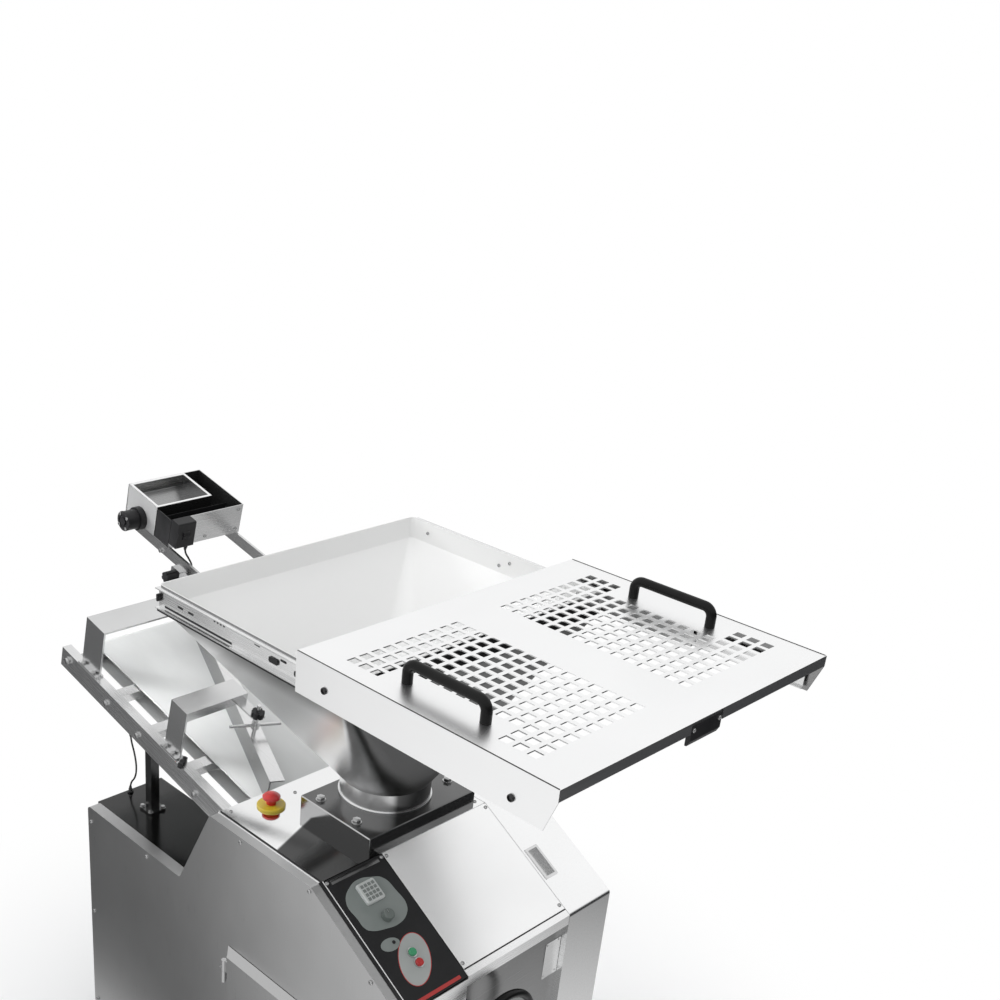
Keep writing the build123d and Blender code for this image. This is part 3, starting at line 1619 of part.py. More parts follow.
with BuildPart() as duster_clamp_knob:
    with BuildSketch(knob_plane):
        Circle(clamp_knob_radius)
        with PolarLocations(clamp_knob_radius, 6):
            Circle(clamp_knob_radius / 5, mode=Mode.SUBTRACT)
    extrude(amount=-clamp_knob_length)
    with BuildSketch(knob_plane):
        Circle(clamp_stem_radius)
    extrude(amount=clamp_width / 2 - button_fit)
save(duster_clamp_knob.part, "duster_clamp_knob")

# Switch box on the front of the duster, with its rocker
switch_x = -duster_half - switch_left
switch_top = switch_rise
switch_middle = switch_x + switch_width / 2
gland_x = switch_x + switch_width - 2 * gland_radius
rocker_along = -switch_depth + rocker_inset
rocker_out = switch_top - switch_height / 2

with BuildPart() as duster_switch_box:
    with BuildSketch(side_plane(duster_point(switch_x, 0, 0))):
        Polygon(
            (-switch_depth, switch_top - switch_height),
            (0, switch_top - switch_height),
            (0, switch_top),
            (-switch_depth, switch_top),
            align=None,
        )
    extrude(amount=switch_width)
    fillet(duster_switch_box.edges().filter_by(Axis.X), switch_depth / 10)
    rocker_room = rocker_width + 2 * rocker_gap
    with BuildSketch(side_plane(duster_point(switch_middle - rocker_room / 2, rocker_along, rocker_out))):
        Circle(rocker_radius + rocker_gap)
    extrude(amount=rocker_room, mode=Mode.SUBTRACT)
    with BuildSketch(side_plane(duster_point(switch_middle - rocker_width, rocker_along, rocker_out))):
        Circle(dust_gap + dust_fit)
    extrude(amount=2 * rocker_width, mode=Mode.SUBTRACT)
    with BuildSketch(face_plane(duster_point(gland_x, -switch_depth / 2, switch_top - switch_height))):
        Circle(gland_radius)
    extrude(amount=-gland_length)
save(duster_switch_box.part, "duster_switch_box")

with BuildPart() as duster_switch:
    with BuildSketch(side_plane(duster_point(switch_middle - rocker_width / 2, rocker_along, rocker_out))):
        Circle(rocker_radius)
        with Locations((-rocker_radius, -rocker_radius)):
            Rectangle(rocker_radius / 2, 2 * rocker_radius, mode=Mode.SUBTRACT)
    extrude(amount=rocker_width)
    pin_start = switch_middle - rocker_width + dust_gap
    with BuildSketch(side_plane(duster_point(pin_start, rocker_along, rocker_out))):
        Circle(dust_gap)
    extrude(amount=2 * rocker_width - 2 * dust_gap)
save(duster_switch.part, "duster_switch")

# Cables: straight runs joined by tangent arcs
gland_end = switch_top - switch_height - gland_length
clamp_face = clamp_x + clamp_width / 2
duster_cable_points = [
    duster_point(gland_x, -switch_depth / 2, gland_end),
    duster_point(gland_x, -switch_depth / 2, gland_end - 14),
    duster_point(gland_x + 11, -19, gland_end - 32),
    duster_point(gland_x + 15, -32, gland_end - 45),
    duster_point(clamp_face + 19, clamp_along, clamp_out),
    duster_point(clamp_face, clamp_along, clamp_out),
]
cable_top = rail_underside(cable_rail_y) - gland_length
cable_foot = rear_low_height + gland_length
cable_fall = cable_top - cable_foot
conveyor_cable_run = [
    (cable_rail_y, cable_top),
    (cable_rail_y, cable_top - 0.1 * cable_fall),
    (cable_rail_y - 17, cable_top - 0.32 * cable_fall),
    (cable_rail_y - 24, cable_top - 0.54 * cable_fall),
    (cable_rail_y - 17, cable_top - 0.735 * cable_fall),
    (cable_housing_y, cable_top - 0.89 * cable_fall),
    (cable_housing_y, cable_foot),
]
conveyor_cable_points = [(-rail_spacing / 2, y, z) for y, z in conveyor_cable_run]


def bend_radii(points):
    radii = []
    corners = [Vector(*point) for point in points]
    for before, here, after in zip(corners, corners[1:], corners[2:]):
        turn = radians((here - before).get_angle(after - here))
        run = min((here - before).length, (after - here).length)
        radii.append(0.45 * run / tan(turn / 2))
    return radii


for name, points in (("duster_cable", duster_cable_points), ("conveyor_cable", conveyor_cable_points)):
    radii = bend_radii(points)
    print(name, "bend radii", [round(radius, 1) for radius in radii])
    with BuildPart() as cable:
        with BuildLine() as cable_path:
            FilletPolyline(*points, radius=radii)
        with BuildSketch(Plane(origin=cable_path.line @ 0, z_dir=cable_path.line % 0)):
            Circle(cable_radius)
        sweep()
    save(cable.part, name)
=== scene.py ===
import json
import math

import bmesh
import bpy
from mathutils import Matrix, Vector

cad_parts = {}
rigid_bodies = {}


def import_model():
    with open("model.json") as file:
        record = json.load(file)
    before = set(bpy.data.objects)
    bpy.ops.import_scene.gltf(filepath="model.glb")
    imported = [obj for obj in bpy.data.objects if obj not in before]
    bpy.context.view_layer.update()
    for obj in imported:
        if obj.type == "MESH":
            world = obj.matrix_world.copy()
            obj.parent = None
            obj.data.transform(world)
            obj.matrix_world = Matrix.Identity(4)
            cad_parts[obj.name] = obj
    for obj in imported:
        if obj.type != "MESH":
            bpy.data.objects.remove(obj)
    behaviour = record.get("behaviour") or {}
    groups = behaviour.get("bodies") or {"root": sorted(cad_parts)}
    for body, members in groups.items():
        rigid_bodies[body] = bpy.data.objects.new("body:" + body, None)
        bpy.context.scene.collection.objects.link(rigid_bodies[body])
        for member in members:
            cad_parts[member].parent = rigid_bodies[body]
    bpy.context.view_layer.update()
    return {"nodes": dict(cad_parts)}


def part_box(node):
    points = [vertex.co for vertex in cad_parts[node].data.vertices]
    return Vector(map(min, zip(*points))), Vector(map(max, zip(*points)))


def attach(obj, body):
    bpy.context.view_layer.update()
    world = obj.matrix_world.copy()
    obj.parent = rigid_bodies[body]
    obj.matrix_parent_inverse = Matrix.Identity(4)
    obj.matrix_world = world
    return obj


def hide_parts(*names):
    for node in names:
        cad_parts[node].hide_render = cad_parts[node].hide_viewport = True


for spare in list(bpy.data.objects):
    bpy.data.objects.remove(spare)
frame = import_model()
nodes = frame["nodes"]
print("frame loaded:", len(nodes), "solids")

# camera at the photograph's angle
cameraSetup = {
    "place": (-1.7642, -1.8136, 2.4775),
    "turn": 43.981,   # degrees, from straight ahead towards the right
    "tip": -25.082,
    "roll": 3.366,
    "lens": 46.383,
    "sensor": 36,
    "shift": (0.15, 0.15),
}
bpy.ops.object.camera_add()
camera = bpy.context.object
camera.matrix_world = (
    Matrix.Translation(cameraSetup["place"])
    @ Matrix.Rotation(math.radians(-cameraSetup["turn"]), 4, "Z")
    @ Matrix.Rotation(math.radians(90 + cameraSetup["tip"]), 4, "X")
    @ Matrix.Rotation(math.radians(cameraSetup["roll"]), 4, "Z")
)
camera.data.lens = cameraSetup["lens"]
camera.data.sensor_width = cameraSetup["sensor"]
camera.data.shift_x, camera.data.shift_y = cameraSetup["shift"]
bpy.context.scene.camera = camera

# planes of the machine, in metres: the front slope starts at its knee, belt and duster share a tilt
planes = {
    "knee": Vector((0, -0.255, 0.961)),
    "slope": math.atan2(0.152, 0.266),
    "belt": Vector((0, 0.179, 0.893)),
    "duster": Vector((0, 0.526, 1.456)),
    "tilt": math.radians(12.8),
}
slopeAngle, tilt = planes["slope"], planes["tilt"]
slopeDown = Vector((0, -math.cos(slopeAngle), -math.sin(slopeAngle)))
slopeOut = Vector((0, -math.sin(slopeAngle), math.cos(slopeAngle)))
beltAlong = Vector((0, math.cos(tilt), math.sin(tilt)))
beltOut = Vector((0, -math.sin(tilt), math.cos(tilt)))
across, rearward, upward = Vector((1, 0, 0)), Vector((0, 1, 0)), Vector((0, 0, 1))


def slopePoint(x, down, out=0.0):
    return across * x + planes["knee"] + slopeDown * down + slopeOut * out


def beltPoint(x, along, out=0.0):
    return across * x + planes["belt"] + beltAlong * along + beltOut * out


def dusterPoint(x, along, out=0.0):
    return across * x + planes["duster"] + beltAlong * along + beltOut * out


def middleOf(low, high):
    return (low + high) / 2


# cords, as smooth curves along the solids' routes
cableSetup = {"radius": 0.00225, "duster": 0.089, "conveyor": 0.173, "steps": 24, "roundness": 5}


def layCord(name, points):
    line = bpy.data.curves.new(name, "CURVE")
    line.dimensions = "3D"
    spline = line.splines.new("NURBS")
    spline.points.add(len(points) - 1)
    for spot, point in zip(spline.points, points):
        spot.co = (*point, 1)
        spot.radius = cableSetup["radius"]
    spline.order_u = 3
    spline.use_endpoint_u = True
    spline.resolution_u = cableSetup["steps"]
    line.bevel_depth = 1.0     # the points' own radius gives the thickness, so the box stays tight
    line.bevel_resolution = cableSetup["roundness"]
    line.use_fill_caps = True
    piece = bpy.data.objects.new(name, line)
    bpy.context.collection.objects.link(piece)
    return piece


dusterRoute = [dusterPoint(*spot) for spot in (
    (-0.067, -0.015, -0.072), (-0.067, -0.015, -0.086), (-0.056, -0.019, -0.104),
    (-0.052, -0.032, -0.117), (-0.066, -0.045, -0.123), (-0.085, -0.045, -0.123),
)]
conveyorRoute = [Vector((-0.212, y, z)) for y, z in (
    (0.557, 0.9125), (0.557, 0.8962), (0.540, 0.8605), (0.533, 0.8247),
    (0.540, 0.7931), (0.563, 0.7679), (0.563, 0.7500),
)]
dusterCable = layCord("dusterCable", dusterRoute)
conveyorCable = layCord("conveyorCable", conveyorRoute)
for cable, route, node, length in (
    (dusterCable, dusterRoute, "duster_cable", cableSetup["duster"]),
    (conveyorCable, conveyorRoute, "conveyor_cable", cableSetup["conveyor"]),
):
    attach(cable, "machine")
    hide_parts(node)
print("camera and cords placed")


def clearSelection():
    if bpy.context.object and bpy.context.object.mode != "OBJECT":
        bpy.ops.object.mode_set(mode="OBJECT")
    bpy.ops.object.select_all(action="DESELECT")


def onlyThese(*pieces):
    clearSelection()
    for piece in pieces:
        piece.select_set(True)
    bpy.context.view_layer.objects.active = pieces[0]


# shader nodes: a value is a number, a colour or another node's output
def addNode(tree, kind, **values):
    node = tree.nodes.new(kind)
    for name, value in values.items():
        setattr(node, name, value)
    return node


def feed(tree, value, socket):
    if isinstance(value, bpy.types.NodeSocket):
        tree.links.new(value, socket)
    else:
        socket.default_value = value


def mathNode(tree, operation, first, second):
    node = addNode(tree, "ShaderNodeMath", operation=operation)
    feed(tree, first, node.inputs[0])
    feed(tree, second, node.inputs[1])
    return node.outputs["Value"]


def rangeNode(tree, value, span, low=0.0, high=1.0, fall="SMOOTHSTEP"):
    node = addNode(tree, "ShaderNodeMapRange", interpolation_type=fall)
    node.inputs["From Min"].default_value, node.inputs["From Max"].default_value = span
    node.inputs["To Min"].default_value, node.inputs["To Max"].default_value = low, high
    tree.links.new(value, node.inputs["Value"])
    return node.outputs["Result"]


def colourMix(tree, factor, first, second):
    node = addNode(tree, "ShaderNodeMixRGB")
    feed(tree, factor, node.inputs["Fac"])
    feed(tree, first, node.inputs["Color1"])
    feed(tree, second, node.inputs["Color2"])
    return node.outputs["Color"]


def axesOf(tree, kind, output):
    source = addNode(tree, kind)
    axes = addNode(tree, "ShaderNodeSeparateXYZ")
    tree.links.new(source.outputs[output], axes.inputs["Vector"])
    return axes.outputs


def placeAxes(tree):
    return axesOf(tree, "ShaderNodeTexCoord", "Object")


def normalAxes(tree):
    return axesOf(tree, "ShaderNodeNewGeometry", "Normal")


def mixShaders(tree, factor, first, second, outputName):
    mix = addNode(tree, "ShaderNodeMixShader")
    for value, socket in zip((factor, first.outputs[0], second.outputs[0]), mix.inputs):
        tree.links.new(value, socket)
    tree.links.new(mix.outputs["Shader"], tree.nodes[outputName].inputs["Surface"])


def startFinish(name):
    finish = bpy.data.materials.new(name)
    finish.use_nodes = True
    return finish, finish.node_tree.nodes["Principled BSDF"]


# studio: pale floor, white paper all round that falls off to the dark room in front, soft lamps
studio = {
    "floorSize": 60.0,
    "floorColour": (0.90, 0.902, 0.905, 1),
    "floorRough": 0.9,
    "floorGloss": 0.1,
    "paper": (1.0, 1.0, 1.0, 1),
    "roomLight": (0.66, 0.665, 0.67, 1),
    "roomDark": (0.04, 0.041, 0.043, 1),
    "frontFall": (-0.45, 0.45),     # where the paper darkens, by direction
    "upFactor": 2.5,                # how much more the way up counts there
    "frontRight": (0.63, -0.65),    # the way along the floor to the front right
    "floorFront": (0.6, 2.3),       # where the floor darkens on that way
    "rearPatch": (-1.5, -0.35),     # unlit floor behind the left side
    "rearLean": 1.5,
    "besideLeft": (-0.6, -0.3),
    "unlit": 0.9,
    "ring": (0.5, 1.6),             # floor shows as paper beyond this distance
}
world = bpy.data.worlds.new("studioRoom")
world.use_nodes = True
bpy.context.scene.world = world
room = world.node_tree
rays = addNode(room, "ShaderNodeLightPath").outputs
direction = axesOf(room, "ShaderNodeTexCoord", "Generated")
lift = mathNode(room, "MULTIPLY", direction["Z"], studio["upFactor"])
paperLevel = rangeNode(room, mathNode(room, "ADD", direction["Y"], lift), studio["frontFall"])
paperLevel = mathNode(room, "MAXIMUM", paperLevel, rays["Is Camera Ray"])
paperLight = room.nodes["Background"]
feed(room, colourMix(room, paperLevel, studio["roomDark"], studio["paper"]), paperLight.inputs["Color"])
roomLight = addNode(room, "ShaderNodeBackground")
roomLight.inputs["Color"].default_value = studio["roomLight"]
seen = mathNode(room, "MAXIMUM", rays["Is Camera Ray"], rays["Is Glossy Ray"])
seen = mathNode(room, "MAXIMUM", seen, rays["Is Transmission Ray"])
mixShaders(room, seen, roomLight, paperLight, "World Output")

clearSelection()
bpy.ops.mesh.primitive_plane_add(size=studio["floorSize"], location=(0, 0, 0))
floor = bpy.context.object
floor.name = "floor"
floorPaint, floorShader = startFinish("floorPaint")
floorShader.inputs["Base Color"].default_value = studio["floorColour"]
floorShader.inputs["Roughness"].default_value = studio["floorRough"]
floorShader.inputs["Specular IOR Level"].default_value = studio["floorGloss"]
ground = floorPaint.node_tree
rays = addNode(ground, "ShaderNodeLightPath").outputs
place = placeAxes(ground)
away = addNode(ground, "ShaderNodeVectorMath", operation="LENGTH")
feed(ground, addNode(ground, "ShaderNodeTexCoord").outputs["Object"], away.inputs[0])
ring = rangeNode(ground, away.outputs["Value"], studio["ring"])
rearLean = mathNode(ground, "MULTIPLY", place["X"], studio["rearLean"])
behind = rangeNode(ground, mathNode(ground, "ADD", place["Y"], rearLean), studio["rearPatch"])
besideLeft = rangeNode(ground, place["X"], studio["besideLeft"], studio["unlit"], 0.0)
unlit = mathNode(ground, "MULTIPLY", behind, besideLeft)
toRight = mathNode(ground, "MULTIPLY", place["X"], studio["frontRight"][0])
toFront = mathNode(ground, "MULTIPLY", place["Y"], studio["frontRight"][1])
paperLevel = rangeNode(ground, mathNode(ground, "ADD", toRight, toFront), studio["floorFront"], 1.0, 0.0)
paperLevel = mathNode(ground, "SUBTRACT", paperLevel, unlit)
paperLevel = mathNode(ground, "MAXIMUM", paperLevel, rays["Is Camera Ray"])
floorPaper = addNode(ground, "ShaderNodeEmission")
feed(ground, colourMix(ground, paperLevel, studio["roomDark"], studio["paper"]), floorPaper.inputs["Color"])
seen = mathNode(ground, "MAXIMUM", rays["Is Camera Ray"], rays["Is Transmission Ray"])
seen = mathNode(ground, "MULTIPLY", seen, ring)
seen = mathNode(ground, "MAXIMUM", seen, rays["Is Glossy Ray"])
mixShaders(ground, seen, floorShader, floorPaper, "Material Output")
floor.data.materials.append(floorPaint)

lamps = {
    "overhead": {"place": (-0.6, 0.4, 4.6), "aim": (0, 0, 0.9), "size": 3.6, "power": 58},
    "left": {"place": (-4.4, -0.6, 2.6), "aim": (0, -0.1, 0.9), "size": 2.6, "power": 26},
    "rear": {"place": (2.6, 4.2, 3.4), "aim": (0, 0, 1.2), "size": 3.0, "power": 28},
    "belt": {
        "place": (-1.0, 1.15, 1.5), "aim": (0.05, 0.26, 0.9), "size": 0.8, "power": 2.6, "spread": 0.6,
    },
}
for lampName, lamp in lamps.items():
    bpy.ops.object.light_add(type="AREA", location=lamp["place"])
    light = bpy.context.object
    light.name = lampName
    light.data.shape = "SQUARE"
    light.data.size = lamp["size"]
    light.data.energy = lamp["power"]
    light.data.spread = lamp.get("spread", math.pi)
    light.visible_glossy = False   # metal shows the paper alone
    aim = Vector(lamp["aim"]) - Vector(lamp["place"])
    light.rotation_euler = aim.to_track_quat("-Z", "Y").to_euler()
bpy.context.scene.view_settings.view_transform = "Standard"
print("studio lit")

# finishes: lengths of the grain are in metres, along the piece's own axes
steelBump, softBump = 0.0002, 0.0003    # heights of the grain
plasticCloud, coatRough = 0.07, 0.08
fullSpan = (0.0, 1.0)


def noisePattern(finish, lengths, detail=2.0, turn=(0, 0, 0), rough=0.5):
    tree = finish.node_tree
    coords = addNode(tree, "ShaderNodeTexCoord")
    mapping = addNode(tree, "ShaderNodeMapping", vector_type="TEXTURE")
    mapping.inputs["Rotation"].default_value = turn
    mapping.inputs["Scale"].default_value = lengths
    noise = addNode(tree, "ShaderNodeTexNoise")
    noise.inputs["Scale"].default_value = 1
    noise.inputs["Detail"].default_value = detail
    noise.inputs["Roughness"].default_value = rough
    tree.links.new(coords.outputs["Object"], mapping.inputs["Vector"])
    tree.links.new(mapping.outputs["Vector"], noise.inputs["Vector"])
    return noise.outputs["Fac"]


def evenly(length):
    return (length, length, length)


def grey(level):
    return (level, level * 1.003, level * 1.005)


def spreadTo(finish, value, low, high, socket, span=(0.3, 0.7)):
    tree = finish.node_tree
    tree.links.new(rangeNode(tree, value, span, low, high, "LINEAR"), socket)


def tintTo(finish, value, dark, light, socket, span=(0.3, 0.7)):
    tree = finish.node_tree
    ramp = addNode(tree, "ShaderNodeValToRGB")
    for stop, place, colour in zip(ramp.color_ramp.elements, span, (dark, light)):
        stop.position = place
        stop.color = (*colour, 1)
    tree.links.new(value, ramp.inputs["Fac"])
    tree.links.new(ramp.outputs["Color"], socket)


def bumpTo(finish, shader, value, strength, distance):
    tree = finish.node_tree
    bump = addNode(tree, "ShaderNodeBump")
    bump.inputs["Strength"].default_value = strength
    bump.inputs["Distance"].default_value = distance
    tree.links.new(value, bump.inputs["Height"])
    tree.links.new(bump.outputs["Normal"], shader.inputs["Normal"])


def brushedSteel(name, grain, tone, rough, depth, turn=(0, 0, 0), cloud=0.35):
    finish, shader = startFinish(name)
    shader.inputs["Metallic"].default_value = 1
    brushing = noisePattern(finish, grain, detail=4.0, turn=turn, rough=0.65)
    clouding = noisePattern(finish, evenly(cloud), detail=3.0)
    tintTo(finish, clouding, grey(tone[0]), grey(tone[1]), shader.inputs["Base Color"])
    spreadTo(finish, brushing, *rough, shader.inputs["Roughness"])
    bumpTo(finish, shader, brushing, depth, steelBump)
    return finish


def grainedPlastic(name, grain, dark, light, rough, depth, gloss=0.5, coat=0.0):
    finish, shader = startFinish(name)
    pores = noisePattern(finish, evenly(grain), detail=3.0)
    clouding = noisePattern(finish, evenly(plasticCloud))
    tintTo(finish, clouding, dark, light, shader.inputs["Base Color"])
    spreadTo(finish, clouding, *rough, shader.inputs["Roughness"])
    bumpTo(finish, shader, pores, depth, softBump)
    shader.inputs["Specular IOR Level"].default_value = gloss
    shader.inputs["Coat Weight"].default_value = coat
    shader.inputs["Coat Roughness"].default_value = coatRough
    return finish


longGrain, fineGrain = 0.12, 0.0012
alongX = (longGrain, fineGrain, fineGrain)
alongY = (fineGrain, longGrain, fineGrain)
alongZ = (fineGrain, fineGrain, longGrain)
slopeTurn = (slopeAngle, 0, 0)
tiltTurn = (tilt, 0, 0)
steels = {
    # a darker copy of the machine's stainless: painted dark reflection on the left side cover
    "sideSteel": dict(grain=alongZ, tone=(0.43, 0.51), rough=(0.27, 0.37), depth=0.020),
    "paleSteel": dict(grain=alongY, tone=(0.90, 0.95), rough=(0.24, 0.29), depth=0.008),
    "coverSteel": dict(grain=alongY, tone=(0.88, 0.97), rough=(0.24, 0.27), depth=0.004, turn=slopeTurn),
    # a darker copy of the machine's stainless: painted dark reflection on the front panel
    "frontSteel": dict(grain=alongX, tone=(0.20, 0.26), rough=(0.20, 0.28), depth=0.015),
    "lipSteel": dict(grain=alongX, tone=(0.84, 0.92), rough=(0.22, 0.32), depth=0.015),
    "railSteel": dict(grain=alongY, tone=(0.70, 0.80), rough=(0.20, 0.30), depth=0.020, turn=tiltTurn),
    "barSteel": dict(grain=alongY, tone=(0.70, 0.80), rough=(0.20, 0.30), depth=0.020, turn=tiltTurn),
    "satinSteel": dict(grain=alongX, tone=(0.62, 0.74), rough=(0.18, 0.28), depth=0.020),
    "darkSteel": dict(grain=alongZ, tone=(0.10, 0.16), rough=(0.14, 0.24), depth=0.020),
    "mirrorSteel": dict(grain=alongX, tone=(0.84, 0.90), rough=(0.07, 0.11), depth=0.004),
    # a darker copy of the machine's stainless: painted dark reflection on the hopper's base slab
    "slabSteel": dict(grain=alongX, tone=(0.11, 0.19), rough=(0.14, 0.20), depth=0.006),
    "lidSteel": dict(grain=alongX, tone=(0.90, 0.94), rough=(0.28, 0.36), depth=0.010),
    "zincSteel": dict(grain=alongY, tone=(0.70, 0.82), rough=(0.20, 0.32), depth=0.020, cloud=0.12),
    "boltSteel": dict(grain=evenly(0.002), tone=(0.42, 0.56), rough=(0.16, 0.28), depth=0.02, cloud=0.01),
    "machinedSteel": dict(grain=evenly(0.0014), tone=(0.48, 0.64), rough=(0.20, 0.34), depth=0.03),
    "chainSteel": dict(grain=evenly(0.006), tone=(0.16, 0.30), rough=(0.30, 0.50), depth=0.3, cloud=0.02),
}
finishes = {name: brushedSteel(name, **look) for name, look in steels.items()}
moulded = dict(grain=0.0011, rough=(0.34, 0.44), depth=0.05)
glossy = dict(grain=0.002, rough=(0.22, 0.30), depth=0.03, coat=0.4)
printed = dict(grain=0.0008, rough=(0.40, 0.50), depth=0.04)
plastics = {
    "blackPlastic": dict(
        moulded, dark=(0.012, 0.012, 0.013), light=(0.022, 0.022, 0.023), depth=0.12, gloss=0.25,
    ),
    "blackScrew": dict(
        dark=(0.010, 0.010, 0.011), light=(0.020, 0.020, 0.021), grain=0.002, rough=(0.28, 0.38), depth=0.05,
    ),
    "handlePlastic": dict(
        dark=evenly(0.006), light=evenly(0.011), grain=0.0014, rough=(0.24, 0.34), depth=0.06, gloss=0.15,
    ),
    "redPlastic": dict(glossy, dark=(0.42, 0.008, 0.008), light=(0.52, 0.014, 0.012)),
    "greenPlastic": dict(glossy, dark=(0.02, 0.24, 0.10), light=(0.04, 0.34, 0.15)),
    "yellowPlastic": dict(
        glossy, dark=(0.44, 0.33, 0.015), light=(0.52, 0.39, 0.022), rough=(0.30, 0.40), coat=0.2,
    ),
    "blackFilm": dict(
        printed, dark=(0.013, 0.013, 0.014), light=(0.020, 0.020, 0.021), rough=(0.42, 0.52), gloss=0.2,
    ),
    "greyPrint": dict(printed, dark=(0.20, 0.225, 0.215), light=(0.25, 0.275, 0.265)),
    "palePrint": dict(printed, dark=(0.36, 0.38, 0.37), light=(0.43, 0.45, 0.44)),
    "redPrint": dict(printed, dark=(0.42, 0.030, 0.028), light=(0.50, 0.040, 0.036)),
    "displayPlastic": dict(moulded, dark=(0.50, 0.52, 0.51), light=(0.58, 0.60, 0.59)),
    "keyPlastic": dict(moulded, dark=(0.16, 0.18, 0.17), light=(0.22, 0.24, 0.23)),
    "darkKnob": dict(moulded, dark=(0.12, 0.14, 0.13), light=(0.17, 0.19, 0.18), depth=0.08),
    "framePaint": dict(
        dark=(0.24, 0.25, 0.26), light=(0.31, 0.32, 0.33), grain=0.004, rough=(0.38, 0.50), depth=0.12,
    ),
    "motorPaint": dict(
        dark=(0.09, 0.10, 0.115), light=(0.13, 0.14, 0.16), grain=0.003, rough=(0.40, 0.52), depth=0.25,
    ),
    "whitePlastic": dict(
        dark=(0.78, 0.78, 0.76), light=(0.86, 0.86, 0.84), grain=0.0016, rough=(0.36, 0.46), depth=0.05,
    ),
    "cableRubber": dict(
        dark=evenly(0.014), light=evenly(0.026), grain=0.0012, rough=(0.40, 0.52), depth=0.1,
    ),
}
finishes.update({name: grainedPlastic(name, **look) for name, look in plastics.items()})


# one on faces that look at the middle of a hollow piece, nought on its outside
def insideMask(tree, middle, flatten=(1, 1, 1), limit=-0.002):
    coords = addNode(tree, "ShaderNodeTexCoord")
    shift = addNode(tree, "ShaderNodeMapping")
    shift.inputs["Location"].default_value = [-place * keep for place, keep in zip(middle, flatten)]
    shift.inputs["Scale"].default_value = flatten
    surface = addNode(tree, "ShaderNodeNewGeometry")
    facing = addNode(tree, "ShaderNodeVectorMath", operation="DOT_PRODUCT")
    tree.links.new(coords.outputs["Object"], shift.inputs["Vector"])
    tree.links.new(shift.outputs["Vector"], facing.inputs[0])
    tree.links.new(surface.outputs["Normal"], facing.inputs[1])
    return mathNode(tree, "LESS_THAN", facing.outputs["Value"], limit)


# gives the finish another colour, or a grey tone, where the mask is one
def paintWhere(finish, mask, colour):
    tree = finish.node_tree
    socket = tree.nodes["Principled BSDF"].inputs["Base Color"]
    feed(tree, colourMix(tree, mask, socket.links[0].from_socket, (*colour, 1)), socket)


def toneWhere(finish, mask, tone):
    paintWhere(finish, mask, grey(tone))


# lid: the inner face of its right flange is in shade
def shadeFlange(finish):
    look = {"right": 0.30, "facing": -0.5, "tone": 0.30}
    tree = finish.node_tree
    onRight = mathNode(tree, "GREATER_THAN", placeAxes(tree)["X"], look["right"])
    inward = mathNode(tree, "LESS_THAN", normalAxes(tree)["X"], look["facing"])
    toneWhere(finish, mathNode(tree, "MULTIPLY", onRight, inward), look["tone"])


# deck: its left front corner mirrors the dark machine
def shadeDeck(finish):
    look = {"lean": -0.36, "edge": (-0.0010, -0.0080), "left": -0.14, "tone": 0.075}
    tree = finish.node_tree
    place = placeAxes(tree)
    sideways = mathNode(tree, "MULTIPLY", place["X"], look["lean"])
    forward = rangeNode(tree, mathNode(tree, "ADD", place["Y"], sideways), look["edge"])
    onLeft = mathNode(tree, "LESS_THAN", place["X"], look["left"])
    toneWhere(finish, mathNode(tree, "MULTIPLY", forward, onLeft), look["tone"])


# faces that look one way get painted light in their tone: a lighter left face on the slab, painted shade on
# the right cover's front faces and on the rounding bar's left face; the normal's axis, its limit and the tone
paintedFacingLight = {
    "slabSteel": ("X", -0.5, 0.50),
    "paleSteel": ("Y", -0.9, 0.68),
    "barSteel": ("X", -0.8, 0.36),
}


def paintFacingLight(finish, axis, limit, tone):
    tree = finish.node_tree
    toneWhere(finish, mathNode(tree, "LESS_THAN", normalAxes(tree)[axis], limit), tone)


# hopper: polished outside with a painted dark reflection on its front, a painted bright reflection on its
# left wall with painted shade under the rail, and a pale coating on the faces that look at its middle
def hopperSteel():
    look = {
        "middle": (0, -0.10, 0), "coat": (0.87, 0.87, 0.865), "coatRough": (0.34, 0.50), "rub": 0.2,
        "steel": 0.78, "steelRough": (0.27, 0.33), "depth": 0.004,
        "front": (-0.62, -0.38), "frontShadeTone": 0.13, "left": (-0.45, -0.65), "leftLightTone": 0.97,
        "underRail": (1.31, 1.40), "railShadeTone": 0.30,
    }
    finish, shader = startFinish("hopperSteel")
    tree = finish.node_tree
    coated = insideMask(tree, look["middle"], (1, 1, 0))
    outward = normalAxes(tree)
    # painted dark reflection on the faces that look to the front
    behind = rangeNode(tree, outward["Y"], look["front"])
    frontShadeGrey, steelGrey = grey(look["frontShadeTone"]), grey(look["steel"])
    tintTo(finish, behind, frontShadeGrey, steelGrey, shader.inputs["Base Color"], fullSpan)
    # painted bright reflection on the faces that look left
    leftness = rangeNode(tree, outward["X"], look["left"])
    toneWhere(finish, leftness, look["leftLightTone"])
    # painted shade on the left wall under the rail
    height = rangeNode(tree, placeAxes(tree)["Z"], look["underRail"])
    toneWhere(finish, mathNode(tree, "MULTIPLY", leftness, height), look["railShadeTone"])
    paintWhere(finish, coated, look["coat"])
    spreadTo(finish, coated, 1.0, 0.0, shader.inputs["Metallic"], fullSpan)
    grain = noisePattern(finish, alongZ, detail=3.0)
    rub = noisePattern(finish, evenly(look["rub"]), detail=4.0)
    roughness = addNode(tree, "ShaderNodeMix")
    feed(tree, coated, roughness.inputs["Factor"])
    spreadTo(finish, grain, *look["steelRough"], roughness.inputs["A"], fullSpan)
    spreadTo(finish, rub, *look["coatRough"], roughness.inputs["B"], fullSpan)
    feed(tree, roughness.outputs["Result"], shader.inputs["Roughness"])
    bumpTo(finish, shader, grain, look["depth"], steelBump)
    return finish


